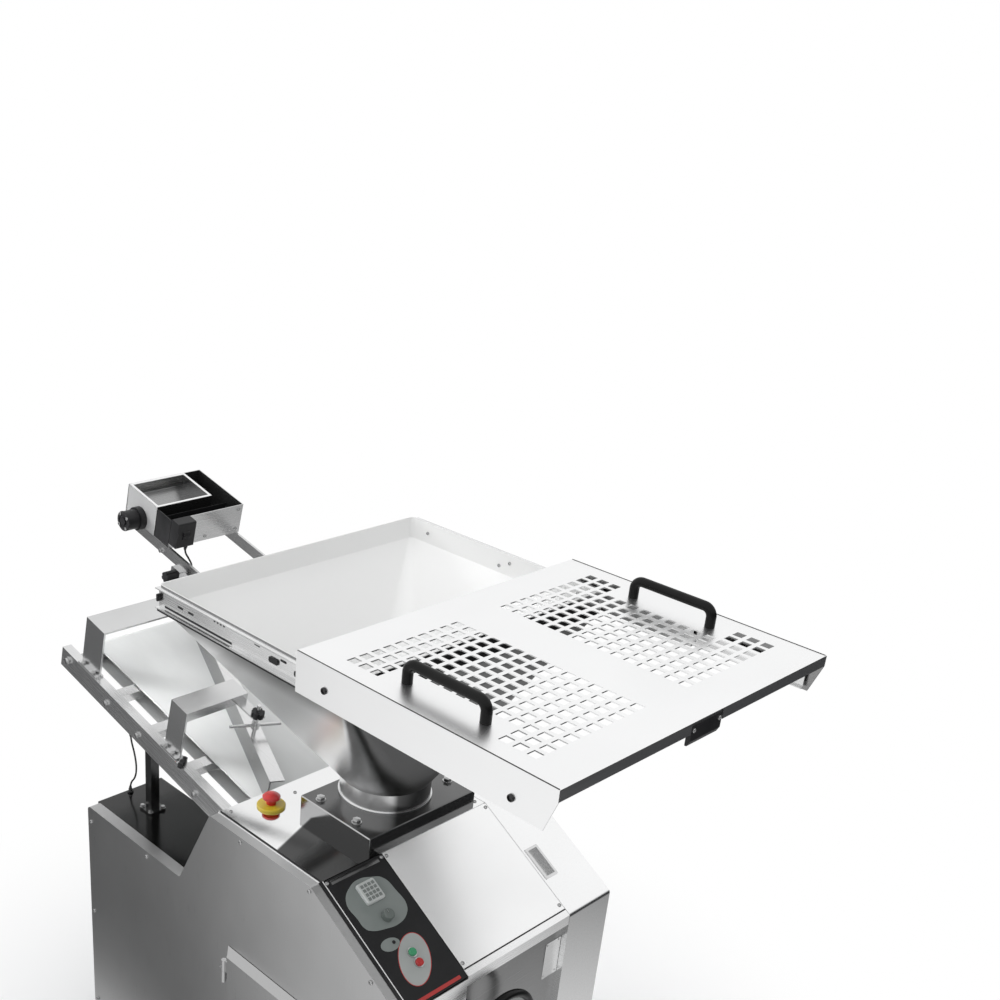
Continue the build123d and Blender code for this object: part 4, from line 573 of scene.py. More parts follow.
# belt: fine weave that runs with the belt
def beltCloth():
    look = {
        "pitch": 0.0024, "dark": (0.66, 0.67, 0.665), "light": (0.80, 0.81, 0.805),
        "wear": (0.17, 0.6, 0.17), "rough": (0.5, 0.68), "depth": 0.12,
    }
    finish, shader = startFinish("beltCloth")
    tree = finish.node_tree
    coords = addNode(tree, "ShaderNodeTexCoord")
    turn = addNode(tree, "ShaderNodeMapping")
    turn.inputs["Rotation"].default_value = (-tilt, 0, 0)
    weave = addNode(tree, "ShaderNodeTexChecker")
    weave.inputs["Scale"].default_value = 1 / look["pitch"]
    tree.links.new(coords.outputs["Object"], turn.inputs["Vector"])
    tree.links.new(turn.outputs["Vector"], weave.inputs["Vector"])
    wear = noisePattern(finish, look["wear"], detail=4.0)
    tintTo(finish, wear, look["dark"], look["light"], shader.inputs["Base Color"])
    spreadTo(finish, wear, *look["rough"], shader.inputs["Roughness"])
    bumpTo(finish, shader, weave.outputs["Fac"], look["depth"], softBump)
    return finish


# levelling feet: rubber pads under plated stems
def footFinish():
    look = {"padTop": 0.0161, "tones": (0.03, 0.60), "rough": (0.6, 0.28), "grain": 0.002, "depth": 0.1}
    finish, shader = startFinish("footFinish")
    tree = finish.node_tree
    stem = mathNode(tree, "GREATER_THAN", placeAxes(tree)["Z"], look["padTop"])
    rubber, steel = look["tones"]
    tintTo(finish, stem, grey(rubber), grey(steel), shader.inputs["Base Color"], fullSpan)
    spreadTo(finish, stem, 0.0, 1.0, shader.inputs["Metallic"], fullSpan)
    spreadTo(finish, stem, *look["rough"], shader.inputs["Roughness"], fullSpan)
    bumpTo(finish, shader, noisePattern(finish, evenly(look["grain"])), look["depth"], softBump)
    return finish


# hollow sheet pieces of the duster: tones and metal are those of the outside, then of the inside; the
# duster's near-black inside is painted shade, and front sets a painted shade tone on the bin's forward outer
# faces
hollowSteels = {
    # inside tone without metal: painted shade inside the duster housing
    "dusterSteel": dict(middle=dusterPoint(0, 0.0915, -0.030), tones=(0.60, 0.02), metal=(1.0, 0.0)),
    # front tone: painted shade on the bin's forward outer faces
    "binSteel": dict(
        middle=dusterPoint(-0.025, 0.121, -0.030), tones=(0.48, 0.36), metal=(0.25, 1.0), front=0.015,
    ),
}
sheetDepth = 0.03
facesFront, facesUp = -0.5, 0.9    # limits of the normal


def hollowSteel(name, middle, tones, metal, front=None, rough=(0.22, 0.36)):
    finish, shader = startFinish(name)
    tree = finish.node_tree
    inside = insideMask(tree, middle)
    grain = noisePattern(finish, alongX, detail=4.0)
    tintTo(finish, inside, grey(tones[0]), grey(tones[1]), shader.inputs["Base Color"], fullSpan)
    # painted shade on the forward outer faces
    if front is not None:
        forward = mathNode(tree, "LESS_THAN", normalAxes(tree)["Y"], facesFront)
        outside = mathNode(tree, "SUBTRACT", 1.0, inside)
        toneWhere(finish, mathNode(tree, "MULTIPLY", forward, outside), front)
    spreadTo(finish, inside, *metal, shader.inputs["Metallic"], fullSpan)
    spreadTo(finish, grain, *rough, shader.inputs["Roughness"])
    bumpTo(finish, shader, grain, sheetDepth, steelBump)
    return finish


# sheet steel whose upward faces get a painted reflection: painted dark on the rear body's top, painted bright
# on the door's top band
topReflectionSteels = {
    "rearSteel": dict(wall=0.46, top=0.055, rough=(0.10, 0.22)),
    "doorSteel": dict(wall=0.47, top=0.95, rough=(0.27, 0.37)),
}


def steelWithTopReflection(name, wall, top, rough):
    finish, shader = startFinish(name)
    shader.inputs["Metallic"].default_value = 1
    tree = finish.node_tree
    # upward faces take the painted reflection tone
    facingUp = mathNode(tree, "GREATER_THAN", normalAxes(tree)["Z"], facesUp)
    grain = noisePattern(finish, alongZ, detail=4.0)
    tintTo(finish, facingUp, grey(wall), grey(top), shader.inputs["Base Color"], fullSpan)
    spreadTo(finish, grain, *rough, shader.inputs["Roughness"])
    bumpTo(finish, shader, grain, sheetDepth, steelBump)
    return finish


finishes.update({name: steelWithTopReflection(name, **look) for name, look in topReflectionSteels.items()})
shadeFlange(finishes["lidSteel"])
shadeDeck(finishes["mirrorSteel"])
# painted light and shade by facing, on the slab, the right cover and the rounding bar
for name, facing in paintedFacingLight.items():
    paintFacingLight(finishes[name], *facing)
finishes["hopperSteel"] = hopperSteel()
finishes.update({name: hollowSteel(name, **look) for name, look in hollowSteels.items()})
finishes["beltCloth"] = beltCloth()
finishes["footFinish"] = footFinish()
nodeFinishes = {
    "footFinish": ["levelling_feet"],
    "framePaint": ["base_frame"],
    "sideSteel": ["left_side_cover"],
    "doorSteel": ["side_door"],
    "rearSteel": ["rear_body"],
    "paleSteel": ["right_side_cover"],
    "coverSteel": ["front_cover"],
    "lipSteel": ["front_frame"],
    "frontSteel": ["front_panel"],
    "mirrorSteel": ["deck_plate"],
    "slabSteel": ["hopper_base"],
    "darkSteel": ["conveyor_post"],
    "dusterSteel": ["duster_housing"],
    "lidSteel": ["lid"],
    "zincSteel": ["slide_rails", "slide_middles", "lid_rails"],
    "railSteel": ["conveyor_frame"],
    "barSteel": ["rounding_bar"],
    "binSteel": ["flour_bin"],
    "satinSteel": [
        "flush_pull", "button_bezels", "conveyor_bed", "guide_arm", "rear_bridge", "duster_arms",
    ],
    "machinedSteel": [
        "weight_stop", "chamber_block", "dough_knife", "main_piston", "dividing_drum", "cam_shaft",
        "motor_sprocket", "belt_tail_roller", "belt_drive_roller",
    ],
    "chainSteel": ["drive_chain"],
    "hopperSteel": ["hopper"],
    "beltCloth": ["conveyor_belt"],
    "blackPlastic": [
        "lid_latch", "guide_knob", "duster_clamp_knob", "duster_switch_box", "duster_switch", "duster_motor",
    ],
    "handlePlastic": ["handwheel", "lid_handles"],
    "blackFilm": ["panel_membrane", "control_panel"],
    "displayPlastic": ["display_unit"],
    "darkKnob": ["speed_knob"],
    "greenPlastic": ["start_button"],
    "redPlastic": ["stop_button", "emergency_stop"],
    "yellowPlastic": ["estop_collar"],
    "whitePlastic": ["measuring_piston", "duster_roller"],
    "motorPaint": ["shaft_bearings", "gear_motor"],
}
for finishName, nodeNames in nodeFinishes.items():
    for nodeName in nodeNames:
        solid = nodes[nodeName]
        solid.data.materials.clear()
        solid.data.materials.append(finishes[finishName])
for cable in (dusterCable, conveyorCable):
    cable.data.materials.append(finishes["cableRubber"])
print("finishes on", sum(len(names) for names in nodeFinishes.values()), "solids")

# modelling helpers
templates = []    # models that are only copied, taken out at the end


def pick(piece, kind, test):
    bpy.ops.mesh.select_mode(type=kind)
    bpy.ops.mesh.select_all(action="DESELECT")
    shape = bmesh.from_edit_mesh(piece.data)
    for item in {"VERT": shape.verts, "EDGE": shape.edges, "FACE": shape.faces}[kind]:
        if test(item):
            item.select_set(True)
    bmesh.update_edit_mesh(piece.data)


def atHeight(height):
    return lambda item: all(abs(corner.co.z - height) < 1e-6 for corner in item.verts)


def upright(edge):
    return abs(edge.verts[0].co.z - edge.verts[1].co.z) > 1e-5


def lengthways(edge):
    return abs(edge.verts[0].co.y - edge.verts[1].co.y) > 0.1


def topLengthways(height):
    flush = atHeight(height)
    return lambda edge: flush(edge) and lengthways(edge)


def everyEdge(edge):
    return True


def onRim(edge):
    return edge.is_boundary


# a new primitive gets its place and size in its mesh, and opens for editing
def openPrimitive():
    piece = bpy.context.object
    bpy.ops.object.transform_apply()
    bpy.ops.object.mode_set(mode="EDIT")
    return piece


def startCylinder(sides, radius, depth, base=0.0):
    clearSelection()
    bpy.ops.mesh.primitive_cylinder_add(
        vertices=sides, radius=radius, depth=depth, location=(0, 0, base + depth / 2),
    )
    return openPrimitive()


def startBlock(size):
    clearSelection()
    bpy.ops.mesh.primitive_cube_add(size=1, location=(0, 0, size[2] / 2), scale=size)
    return openPrimitive()


def bevelEdges(piece, test, offset, segments):
    pick(piece, "EDGE", test)
    bpy.ops.mesh.bevel(offset=offset, segments=segments, affect="EDGES")


def startDisc(sides, radius, rise, rounding, segments):
    disc = startCylinder(sides, radius, rise)
    bevelEdges(disc, atHeight(rise), rounding, segments)
    return disc


def extrudeBy(step):
    bpy.ops.mesh.extrude_region_move(TRANSFORM_OT_translate={"value": (0, 0, step)})


def dishTop(piece, height, rim, drop):
    pick(piece, "FACE", atHeight(height))
    bpy.ops.mesh.inset(thickness=rim)
    bpy.ops.transform.translate(value=(0, 0, -drop))


def leaveEdit(piece, angle=35):
    bpy.ops.mesh.select_all(action="SELECT")
    bpy.ops.mesh.normals_make_consistent(inside=False)
    onlyThese(piece)
    bpy.ops.object.shade_smooth_by_angle(angle=math.radians(angle))
    return piece


def roundedBlock(size, test, rounding, segments):
    block = startBlock(size)
    bevelEdges(block, test, rounding, segments)
    return leaveEdit(block)


def dishedPlate(size, look):
    plate = startBlock(size)
    bevelEdges(plate, upright, look["round"], 3)
    dishTop(plate, size[2], look["rim"], look["dish"])
    return leaveEdit(plate)


def applyModifier(piece, kind, **values):
    modifier = piece.modifiers.new(kind.lower(), kind)
    for name, value in values.items():
        setattr(modifier, name, value)
    bpy.ops.object.modifier_apply(modifier=modifier.name)


def standAt(point, outward, turn=0.0):
    aim = outward.to_track_quat("Z", "Y").to_matrix().to_4x4()
    return Matrix.Translation(point) @ aim @ Matrix.Rotation(turn, 4, "Z")


def frameAt(point, sideways, outward):
    ahead = outward.cross(sideways)
    turn = Matrix((sideways, ahead, outward)).transposed()
    return Matrix.Translation(point) @ turn.to_4x4()


def settle(piece, place):
    piece.matrix_world = place
    onlyThese(piece)
    bpy.ops.object.transform_apply()
    return piece


def joinPieces(pieces):
    onlyThese(*pieces)
    if len(pieces) > 1:
        bpy.ops.object.join()
    return bpy.context.object


# copies of one model, each with its own mesh, joined as one piece
def spreadCopies(template, places):
    if template not in templates:
        templates.append(template)
    copies = []
    for place in places:
        copy = template.copy()
        copy.data = template.data.copy()
        bpy.context.collection.objects.link(copy)
        copy.matrix_world = place
        copies.append(copy)
    onlyThese(*copies)
    bpy.ops.object.transform_apply()
    return joinPieces(copies)


def dress(piece, name, body, finishName):
    piece.name = name
    piece.data.name = name
    piece.data.materials.clear()
    piece.data.materials.append(finishes[finishName])
    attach(piece, body)
    return piece


def dressBlack(piece, name, body="machine"):
    return dress(piece, name, body, "blackPlastic")


def fasten(template, places, name, body="machine"):
    return dress(spreadCopies(template, places), name, body, "boltSteel")


# the point of a solid that a line from outside meets first
def seatOn(nodeName, start, direction):
    hit, place = nodes[nodeName].ray_cast(start, direction)[:2]
    if not hit:
        raise ValueError("nothing to seat on: %s at %s" % (nodeName, tuple(start)))
    return place


def seats(nodeName, starts, direction, turn=0.0):
    return [standAt(seatOn(nodeName, Vector(start), direction), -direction, turn) for start in starts]


slopeLift = 0.05    # lines that look for a seat on the slope start this far above it


def slopeSeat(nodeName, x, down):
    return seatOn(nodeName, slopePoint(x, down, slopeLift), -slopeOut)


# a strip on the slope, or on a solid that lies there
def slopeStrip(look, test, segments, nodeName=None):
    size = (look["right"] - look["left"], look["low"] - look["top"], look["rise"])
    strip = roundedBlock(size, test, look["round"], segments)
    spot = (middleOf(look["left"], look["right"]), middleOf(look["top"], look["low"]))
    point = slopeSeat(nodeName, *spot) if nodeName else slopePoint(*spot)
    return settle(strip, frameAt(point, across, slopeOut))


# fasteners, seated on the plane z = 0: parts of the head's height, the washer's thickness or the flats
headShape = {"crown": 0.5, "socket": 0.6, "chamfer": 0.12, "dome": 0.85, "washerRound": 0.3, "corner": 0.58}


def buttonHead(look):
    height = look["height"]
    screw = startDisc(24, look["radius"], height, height * headShape["crown"], 3)
    pick(screw, "FACE", atHeight(height))
    bpy.ops.mesh.delete(type="ONLY_FACE")
    bpy.ops.mesh.primitive_circle_add(
        vertices=6, radius=look["socket"], fill_type="NOTHING", location=(0, 0, height),
    )
    pick(screw, "EDGE", onRim)
    bpy.ops.mesh.bridge_edge_loops()
    pick(screw, "EDGE", onRim)
    extrudeBy(-headShape["socket"] * height)
    bpy.ops.mesh.edge_face_add()
    return leaveEdit(screw)


def hexHead(look):
    height = look["height"]
    washerRadius, washerThick = look["washer"]
    bolt = startCylinder(6, look["flats"] / math.sqrt(3), height, washerThick)
    bevelEdges(bolt, atHeight(washerThick + height), height * headShape["chamfer"], 2)
    bpy.ops.mesh.primitive_cylinder_add(
        vertices=28, radius=washerRadius, depth=washerThick, location=(0, 0, washerThick / 2),
    )
    onTop = atHeight(washerThick)
    corner = look["flats"] * headShape["corner"]
    washerRound = washerThick * headShape["washerRound"]
    bevelEdges(bolt, lambda edge: onTop(edge) and edge.verts[0].co.xy.length > corner, washerRound, 2)
    return leaveEdit(bolt)


def rivetHead(look):
    height = look["height"]
    return leaveEdit(startDisc(16, look["radius"], height, height * headShape["dome"], 4), 60)


smallScrew = buttonHead({"radius": 0.0042, "height": 0.0022, "socket": 0.0017})
panelScrew = buttonHead({"radius": 0.0052, "height": 0.0028, "socket": 0.0021})
flangeScrew = buttonHead({"radius": 0.0068, "height": 0.0040, "socket": 0.0028})
slabBolt = hexHead({"flats": 0.017, "height": 0.0064, "washer": (0.0115, 0.0020)})
frameBolt = hexHead({"flats": 0.013, "height": 0.0050, "washer": (0.0085, 0.0016)})
lightBolt = hexHead({"flats": 0.010, "height": 0.0040, "washer": (0.0065, 0.0012)})
rivet = rivetHead({"radius": 0.0024, "height": 0.0012})

lidScrews = {"spots": [(-0.3327, 1.4505), (-0.7674, 1.4445)], "outside": 0.45}
lidPlaces = []
for y, z in lidScrews["spots"]:
    lidPlaces += seats("lid", [(-lidScrews["outside"], y, z)], across)
    lidPlaces += seats("lid", [(lidScrews["outside"], y, z)], -across)
dress(spreadCopies(flangeScrew, lidPlaces), "lidScrews", "lid", "blackScrew")

latchScrews = {"across": (-0.038, 0.038), "height": 1.4835, "ahead": -0.92}
latchStarts = [(x, latchScrews["ahead"], latchScrews["height"]) for x in latchScrews["across"]]
fasten(smallScrew, seats("lid_latch", latchStarts, rearward), "latchScrews", "lid_latch")

slabBolts = {
    "spots": [(-0.139, -0.180), (0.139, -0.180), (-0.139, -0.066), (0.139, -0.066)],
    "above": 1.05,
    "turn": 0.3,
}
slabStarts = [(x, y, slabBolts["above"]) for x, y in slabBolts["spots"]]
fasten(slabBolt, seats("hopper_base", slabStarts, -upward, slabBolts["turn"]), "slabBolts")

coverScrews = {
    "deck": [(-0.122, 0.038), (0.122, 0.038), (0.172, -0.238), (-0.284, 0.062), (0.172, 0.062)],
    "cover": [(-0.128, 0.010), (0.180, 0.010), (0.180, 0.277), (-0.128, 0.278)],
    "tray": [(-0.293, 0.008), (-0.142, 0.008)],
    "front": [(x, z) for x in (-0.125, 0.178) for z in (0.142, 0.455, 0.772)],
    "above": 1.0,
    "ahead": -0.6,
}
coverPlaces = seats("deck_plate", [(x, y, coverScrews["above"]) for x, y in coverScrews["deck"]], -upward)
for nodeName, part in (("front_cover", "cover"), ("control_panel", "tray")):
    starts = [slopePoint(x, down, slopeLift) for x, down in coverScrews[part]]
    coverPlaces += seats(nodeName, starts, -slopeOut)
coverPlaces += seats("front_panel", [(x, coverScrews["ahead"], z) for x, z in coverScrews["front"]], rearward)
fasten(smallScrew, coverPlaces, "coverScrews")

panelScrews = {
    "left": [
        (-0.252, 0.9495), (-0.030, 0.9495), (-0.440, 0.8425), (-0.507, 0.720), (-0.507, 0.430),
        (-0.507, 0.145), (-0.240, 0.145), (0.080, 0.145), (0.320, 0.145), (0.560, 0.145), (0.560, 0.430),
        (0.560, 0.700), (0.320, 0.725),
    ],
    "right": [
        (-0.252, 0.9495), (-0.030, 0.9495), (-0.440, 0.8425), (-0.507, 0.720), (-0.507, 0.430),
        (-0.507, 0.145), (-0.160, 0.145), (0.172, 0.145), (0.172, 0.430), (0.172, 0.700),
    ],
    "rear": [(x, z) for x in (-0.285, -0.056, 0.172) for z in (0.145, 0.430, 0.722)],
    "outside": 0.5,
    "behind": 0.7,
}
leftStarts = [(-panelScrews["outside"], y, z) for y, z in panelScrews["left"]]
rightStarts = [(panelScrews["outside"], y, z) for y, z in panelScrews["right"]]
rearStarts = [(x, panelScrews["behind"], z) for x, z in panelScrews["rear"]]
panelPlaces = seats("left_side_cover", leftStarts, across)
panelPlaces += seats("right_side_cover", rightStarts, -across)
panelPlaces += seats("rear_body", rearStarts, -rearward)
fasten(panelScrew, panelPlaces, "panelScrews")
print("cover fasteners placed")

# telescopic slides: slots, holes and end stops lie flat in the webs, clear of the rail that runs over them;
# the holes and slots are dark marks, painted shade of the openings
slideMarks = {
    "outside": 0.45,
    "hole": {"width": 0.0050, "length": 0.0052, "thick": 0.0003},
    "slot": {"width": 0.0050, "length": 0.0180, "thick": 0.0003},
    "stop": {"size": (0.016, 0.0060, 0.0085), "round": 0.0016},
    "lever": {"size": (0.011, 0.026, 0.0030), "round": 0.003},
    "holes": [(y, z) for y in (0.014, 0.004, -0.006, -0.016) for z in (1.4535, 1.4600)],
    "slots": [(y, 1.4415) for y in (0.120, 0.085, -0.260, -0.320)],
    "stops": [(0.1968, 1.4415)],
    "middleSlots": [(-0.100, 1.4570), (-0.128, 1.4545), (-0.150, 1.4570), (-0.205, 1.4500)],
    "levers": [(-0.172, 1.4415), (-0.245, 1.4400)],
}


# a flat dark mark that paints the shade inside a hole or slot
def slotMark(look):
    mark = startCylinder(16, look["width"] / 2, look["thick"])
    pick(mark, "VERT", lambda corner: corner.co.y > 1e-6)
    bpy.ops.transform.translate(value=(0, look["length"] - look["width"], 0))
    dishTop(mark, look["thick"], look["width"] * 0.12, 0.6 * look["thick"])
    return leaveEdit(mark)


# places on the webs of both sides: local x up the web, local y along the slide
def webPlaces(nodeName, spots):
    places = []
    for side in (-1, 1):
        for y, z in spots:
            point = seatOn(nodeName, Vector((side * slideMarks["outside"], y, z)), -side * across)
            places.append(frameAt(point, upward, side * across))
    return places


def markWebs(nodeName, marks):
    return joinPieces([spreadCopies(mark, webPlaces(nodeName, slideMarks[spots])) for mark, spots in marks])


roundHole = slotMark(slideMarks["hole"])
longSlot = slotMark(slideMarks["slot"])
endStop = roundedBlock(slideMarks["stop"]["size"], everyEdge, slideMarks["stop"]["round"], 2)
lockLever = roundedBlock(slideMarks["lever"]["size"], upright, slideMarks["lever"]["round"], 3)
railMarks = markWebs("slide_rails", [(roundHole, "holes"), (longSlot, "slots"), (endStop, "stops")])
dressBlack(railMarks, "slideStopsAndHoleShades")
middleMarks = markWebs("slide_middles", [(longSlot, "middleSlots"), (lockLever, "levers")])
dressBlack(middleMarks, "slideLeversAndSlotShades", "slide_middles")

# dark ball cage that shows along the foot of each fixed rail
ballCage = {
    "front": -0.352, "rear": 0.180, "foot": 1.4232, "height": 0.0050, "thick": 0.0004, "round": 0.00015,
    "web": (0.06, 1.4415),
}
cageSize = (ballCage["height"], ballCage["rear"] - ballCage["front"], ballCage["thick"])
cageStrip = roundedBlock(cageSize, lengthways, ballCage["round"], 1)
cagePlaces = webPlaces("slide_rails", [ballCage["web"]])
for place in cagePlaces:
    place.translation.y = middleOf(ballCage["front"], ballCage["rear"])
    place.translation.z = ballCage["foot"] + ballCage["height"] / 2
dressBlack(spreadCopies(cageStrip, cagePlaces), "ballCages")
print("slides detailed")

# control panel: plain printed fields, a keypad on the display, a bare stripe
panelPrint = {
    "thick": 0.00018,
    "lift": 0.0001,
    "field": [
        (-0.2803, 0.0606), (-0.2470, 0.0329), (-0.2203, 0.0282), (-0.1943, 0.0346), (-0.1687, 0.0477),
        (-0.1589, 0.0851), (-0.1579, 0.1192), (-0.1731, 0.1379), (-0.2024, 0.1472), (-0.2365, 0.1435),
        (-0.2655, 0.1350), (-0.2765, 0.1258), (-0.2799, 0.0996),
    ],
    "smallOval": {"middle": (-0.2485, 0.1755), "wide": 0.0235, "tall": 0.0135, "lean": 4},
    "oval": {"middle": (-0.2195, 0.2235), "wide": 0.057, "tall": 0.035, "lean": -52},
    "ring": (0.0016, 0.0001),    # how far its two edges lie outside the oval
    "stripe": {
        "left": -0.285, "right": -0.152, "top": 0.2945, "low": 0.3020, "rise": 0.0006, "round": 0.0015,
    },
    "lamp": {"middle": (-0.2385, 0.1745), "radius": 0.0038, "rise": 0.0022, "round": 0.0012},
}


def flatField(loops):
    clearSelection()
    bpy.ops.curve.primitive_bezier_circle_add(radius=0.01)
    piece = bpy.context.object
    line = piece.data
    line.splines.clear()
    for loop in loops:
        spline = line.splines.new("BEZIER")
        spline.bezier_points.add(len(loop) - 1)
        for knot, (x, down) in zip(spline.bezier_points, loop):
            knot.co = (x, -down, 0)
            knot.handle_left_type = knot.handle_right_type = "AUTO"
        spline.use_cyclic_u = True
        spline.resolution_u = 8
    line.dimensions = "2D"
    line.fill_mode = "BOTH"
    line.extrude = panelPrint["thick"] / 2
    onlyThese(piece)
    bpy.ops.object.convert(target="MESH")
    place = frameAt(slopePoint(0, 0, panelPrint["lift"]), across, slopeOut)
    return settle(bpy.context.object, place)


def ovalLoop(middle, wide, tall, lean, grow=0.0, count=16):
    turn = math.radians(lean)
    loop = []
    for step in range(count):
        angle = 2 * math.pi * step / count
        u, v = (wide + grow) * math.cos(angle), (tall + grow) * math.sin(angle)
        loop.append((
            middle[0] + u * math.cos(turn) - v * math.sin(turn),
            middle[1] + u * math.sin(turn) + v * math.cos(turn),
        ))
    return loop


fields = joinPieces([flatField([panelPrint["field"]]), flatField([ovalLoop(**panelPrint["smallOval"])])])
dress(fields, "panelFields", "machine", "greyPrint")
paleOval = flatField([ovalLoop(**panelPrint["oval"])])
dress(paleOval, "panelOval", "machine", "palePrint")
redRing = flatField([ovalLoop(**panelPrint["oval"], grow=edge, count=24) for edge in panelPrint["ring"]])
redStripe = slopeStrip(panelPrint["stripe"], upright, 3, "control_panel")
dress(joinPieces([redStripe, redRing]), "panelRedLines", "machine", "redPrint")
lamp = panelPrint["lamp"]
panelLamp = leaveEdit(startDisc(20, lamp["radius"], lamp["rise"], lamp["round"], 4))
dressBlack(settle(panelLamp, frameAt(slopePoint(*lamp["middle"]), across, slopeOut)), "panelLamp")

keypad = {
    "rows": 4, "columns": 4, "pitch": 0.0098, "middle": (-0.2175, 0.063),
    "key": 0.0068, "rise": 0.0016, "round": 0.0007,
}
onFoot = atHeight(0.0)
keyCap = roundedBlock(
    (keypad["key"], keypad["key"], keypad["rise"]), lambda edge: not onFoot(edge), keypad["round"], 2,
)
keyPlaces = []
for row in range(keypad["rows"]):
    for column in range(keypad["columns"]):
        x = keypad["middle"][0] + (column - (keypad["columns"] - 1) / 2) * keypad["pitch"]
        down = keypad["middle"][1] + (row - (keypad["rows"] - 1) / 2) * keypad["pitch"]
        keyPlaces.append(frameAt(slopeSeat("display_unit", x, down), across, slopeOut))
dress(spreadCopies(keyCap, keyPlaces), "displayKeys", "machine", "keyPlastic")

knobPointer = {"spot": (-0.2175, 0.1185), "size": (0.0018, 0.0085, 0.0005), "round": 0.0003}
pointer = roundedBlock(knobPointer["size"], atHeight(knobPointer["size"][2]), knobPointer["round"], 2)
settle(pointer, frameAt(slopeSeat("speed_knob", *knobPointer["spot"]), across, slopeOut))
dress(pointer, "knobPointer", "speed_knob", "whitePlastic")
print("control panel printed")

# dark strip and bright trim along the left cover's upper edge: the dark strip is painted shade in the gap
# along that edge; place across and width, on deck and slope
edgeTrim = {
    "deckEnds": (0.076, -0.2545),
    "deckTop": 0.961,
    "slopeEnd": 0.3045,
    "edgeShade": {
        "deck": (-0.3010, 0.0045), "slope": (-0.3045, 0.0085), "rise": 0.0012,
        "finish": "blackPlastic", "slot": "black_plastic",
    },
    "trim": {
        "deck": (-0.3070, 0.0030), "slope": (-0.2988, 0.0024), "rise": 0.0016,
        "finish": "lipSteel", "slot": "stainless_sheet",
    },
}
deckRear, deckFront = edgeTrim["deckEnds"]
slopeEnd = edgeTrim["slopeEnd"]
for trimName in ("edgeShade", "trim"):
    look = edgeTrim[trimName]
    rise = look["rise"]
    deckX, deckWidth = look["deck"]
    slopeX, slopeWidth = look["slope"]
    deckMiddle = Vector((deckX, middleOf(deckRear, deckFront), edgeTrim["deckTop"]))
    strips = []
    for width, length, middle, outward in (
        (deckWidth, deckRear - deckFront, deckMiddle, upward),
        (slopeWidth, slopeEnd, slopePoint(slopeX, slopeEnd / 2), slopeOut),
    ):
        strip = roundedBlock((width, length, rise), topLengthways(rise), rise * 0.45, 3)
        strips.append(settle(strip, frameAt(middle, across, outward)))
    dress(joinPieces(strips), trimName + "Strip", "machine", look["finish"])

# dark strip under the front cover's lower edge: painted shade in the gap above the lip
coverGapShade = {"left": -0.133, "right": 0.186, "top": 0.2890, "low": 0.2920, "rise": 0.0012, "round": 0.0004}
dressBlack(slopeStrip(coverGapShade, atHeight(coverGapShade["rise"]), 2), "coverGapShade")

# dark strips under the fixed slide rails: painted shade in the gap below each rail
railGapShade = {
    "inner": 0.3695, "outer": 0.3785, "front": -0.300, "rear": 0.196, "top": 1.4189, "rise": 0.0060,
    "round": 0.0012,
}
railShadeWidth = railGapShade["outer"] - railGapShade["inner"]
railShadeLength = railGapShade["rear"] - railGapShade["front"]
railShadeSize = (railShadeWidth, railShadeLength, railGapShade["rise"])
railShadeStrip = roundedBlock(railShadeSize, lengthways, railGapShade["round"], 3)
railShadePlaces = []
for side in (-1, 1):
    x = side * middleOf(railGapShade["inner"], railGapShade["outer"])
    y = middleOf(railGapShade["front"], railGapShade["rear"])
    railShadePlaces.append(frameAt(Vector((x, y, railGapShade["top"] - railGapShade["rise"])), across, upward))
dressBlack(spreadCopies(railShadeStrip, railShadePlaces), "railGapShades")

# head strip across the top of the panel
headStrip = {"left": -0.284, "right": -0.151, "top": 0.0055, "low": 0.0155, "rise": 0.0010, "round": 0.0004}
head = slopeStrip(headStrip, atHeight(headStrip["rise"]), 2, "control_panel")
dress(head, "headStrip", "machine", "darkSteel")

# dark strips along the folds of the lid: painted shade on the fold lines
lidFoldShades = {"across": 0.3902, "front": -0.8530, "rear": -0.2560, "width": 0.0026, "rise": 0.0006}
foldShadeSize = (lidFoldShades["width"], lidFoldShades["rear"] - lidFoldShades["front"], lidFoldShades["rise"])
lidFoldShade = roundedBlock(foldShadeSize, topLengthways(lidFoldShades["rise"]), lidFoldShades["rise"] * 0.6, 3)
foldShadePlaces = []
for x in (-lidFoldShades["across"], lidFoldShades["across"]):
    middle = Vector((x, middleOf(lidFoldShades["front"], lidFoldShades["rear"]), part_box("lid")[1].z))
    foldShadePlaces.append(frameAt(middle, across, upward))
dress(spreadCopies(lidFoldShade, foldShadePlaces), "lidFoldShades", "lid", "cableRubber")

# bare plate on the front panel, with a rivet in each corner
barePlate = {
    "left": 0.137, "right": 0.187, "low": 0.650, "top": 0.745, "thick": 0.0012, "edge": 0.006,
    "round": 0.003, "rim": 0.0022, "dish": 0.0003, "ahead": -0.6,
}
plateSize = (barePlate["right"] - barePlate["left"], barePlate["top"] - barePlate["low"], barePlate["thick"])
plateStart = Vector((
    middleOf(barePlate["left"], barePlate["right"]), barePlate["ahead"],
    middleOf(barePlate["low"], barePlate["top"]),
))
plateSeat = seatOn("front_panel", plateStart, rearward)
plate = settle(dishedPlate(plateSize, barePlate), frameAt(plateSeat, across, -rearward))
plateRivets = []
for x in (barePlate["left"] + barePlate["edge"], barePlate["right"] - barePlate["edge"]):
    for z in (barePlate["low"] + barePlate["edge"], barePlate["top"] - barePlate["edge"]):
        plateRivets.append(standAt(Vector((x, plateSeat.y - barePlate["thick"], z)), -rearward))
plate = joinPieces([plate, spreadCopies(rivet, plateRivets)])
dress(plate, "barePlate", "machine", "satinSteel")

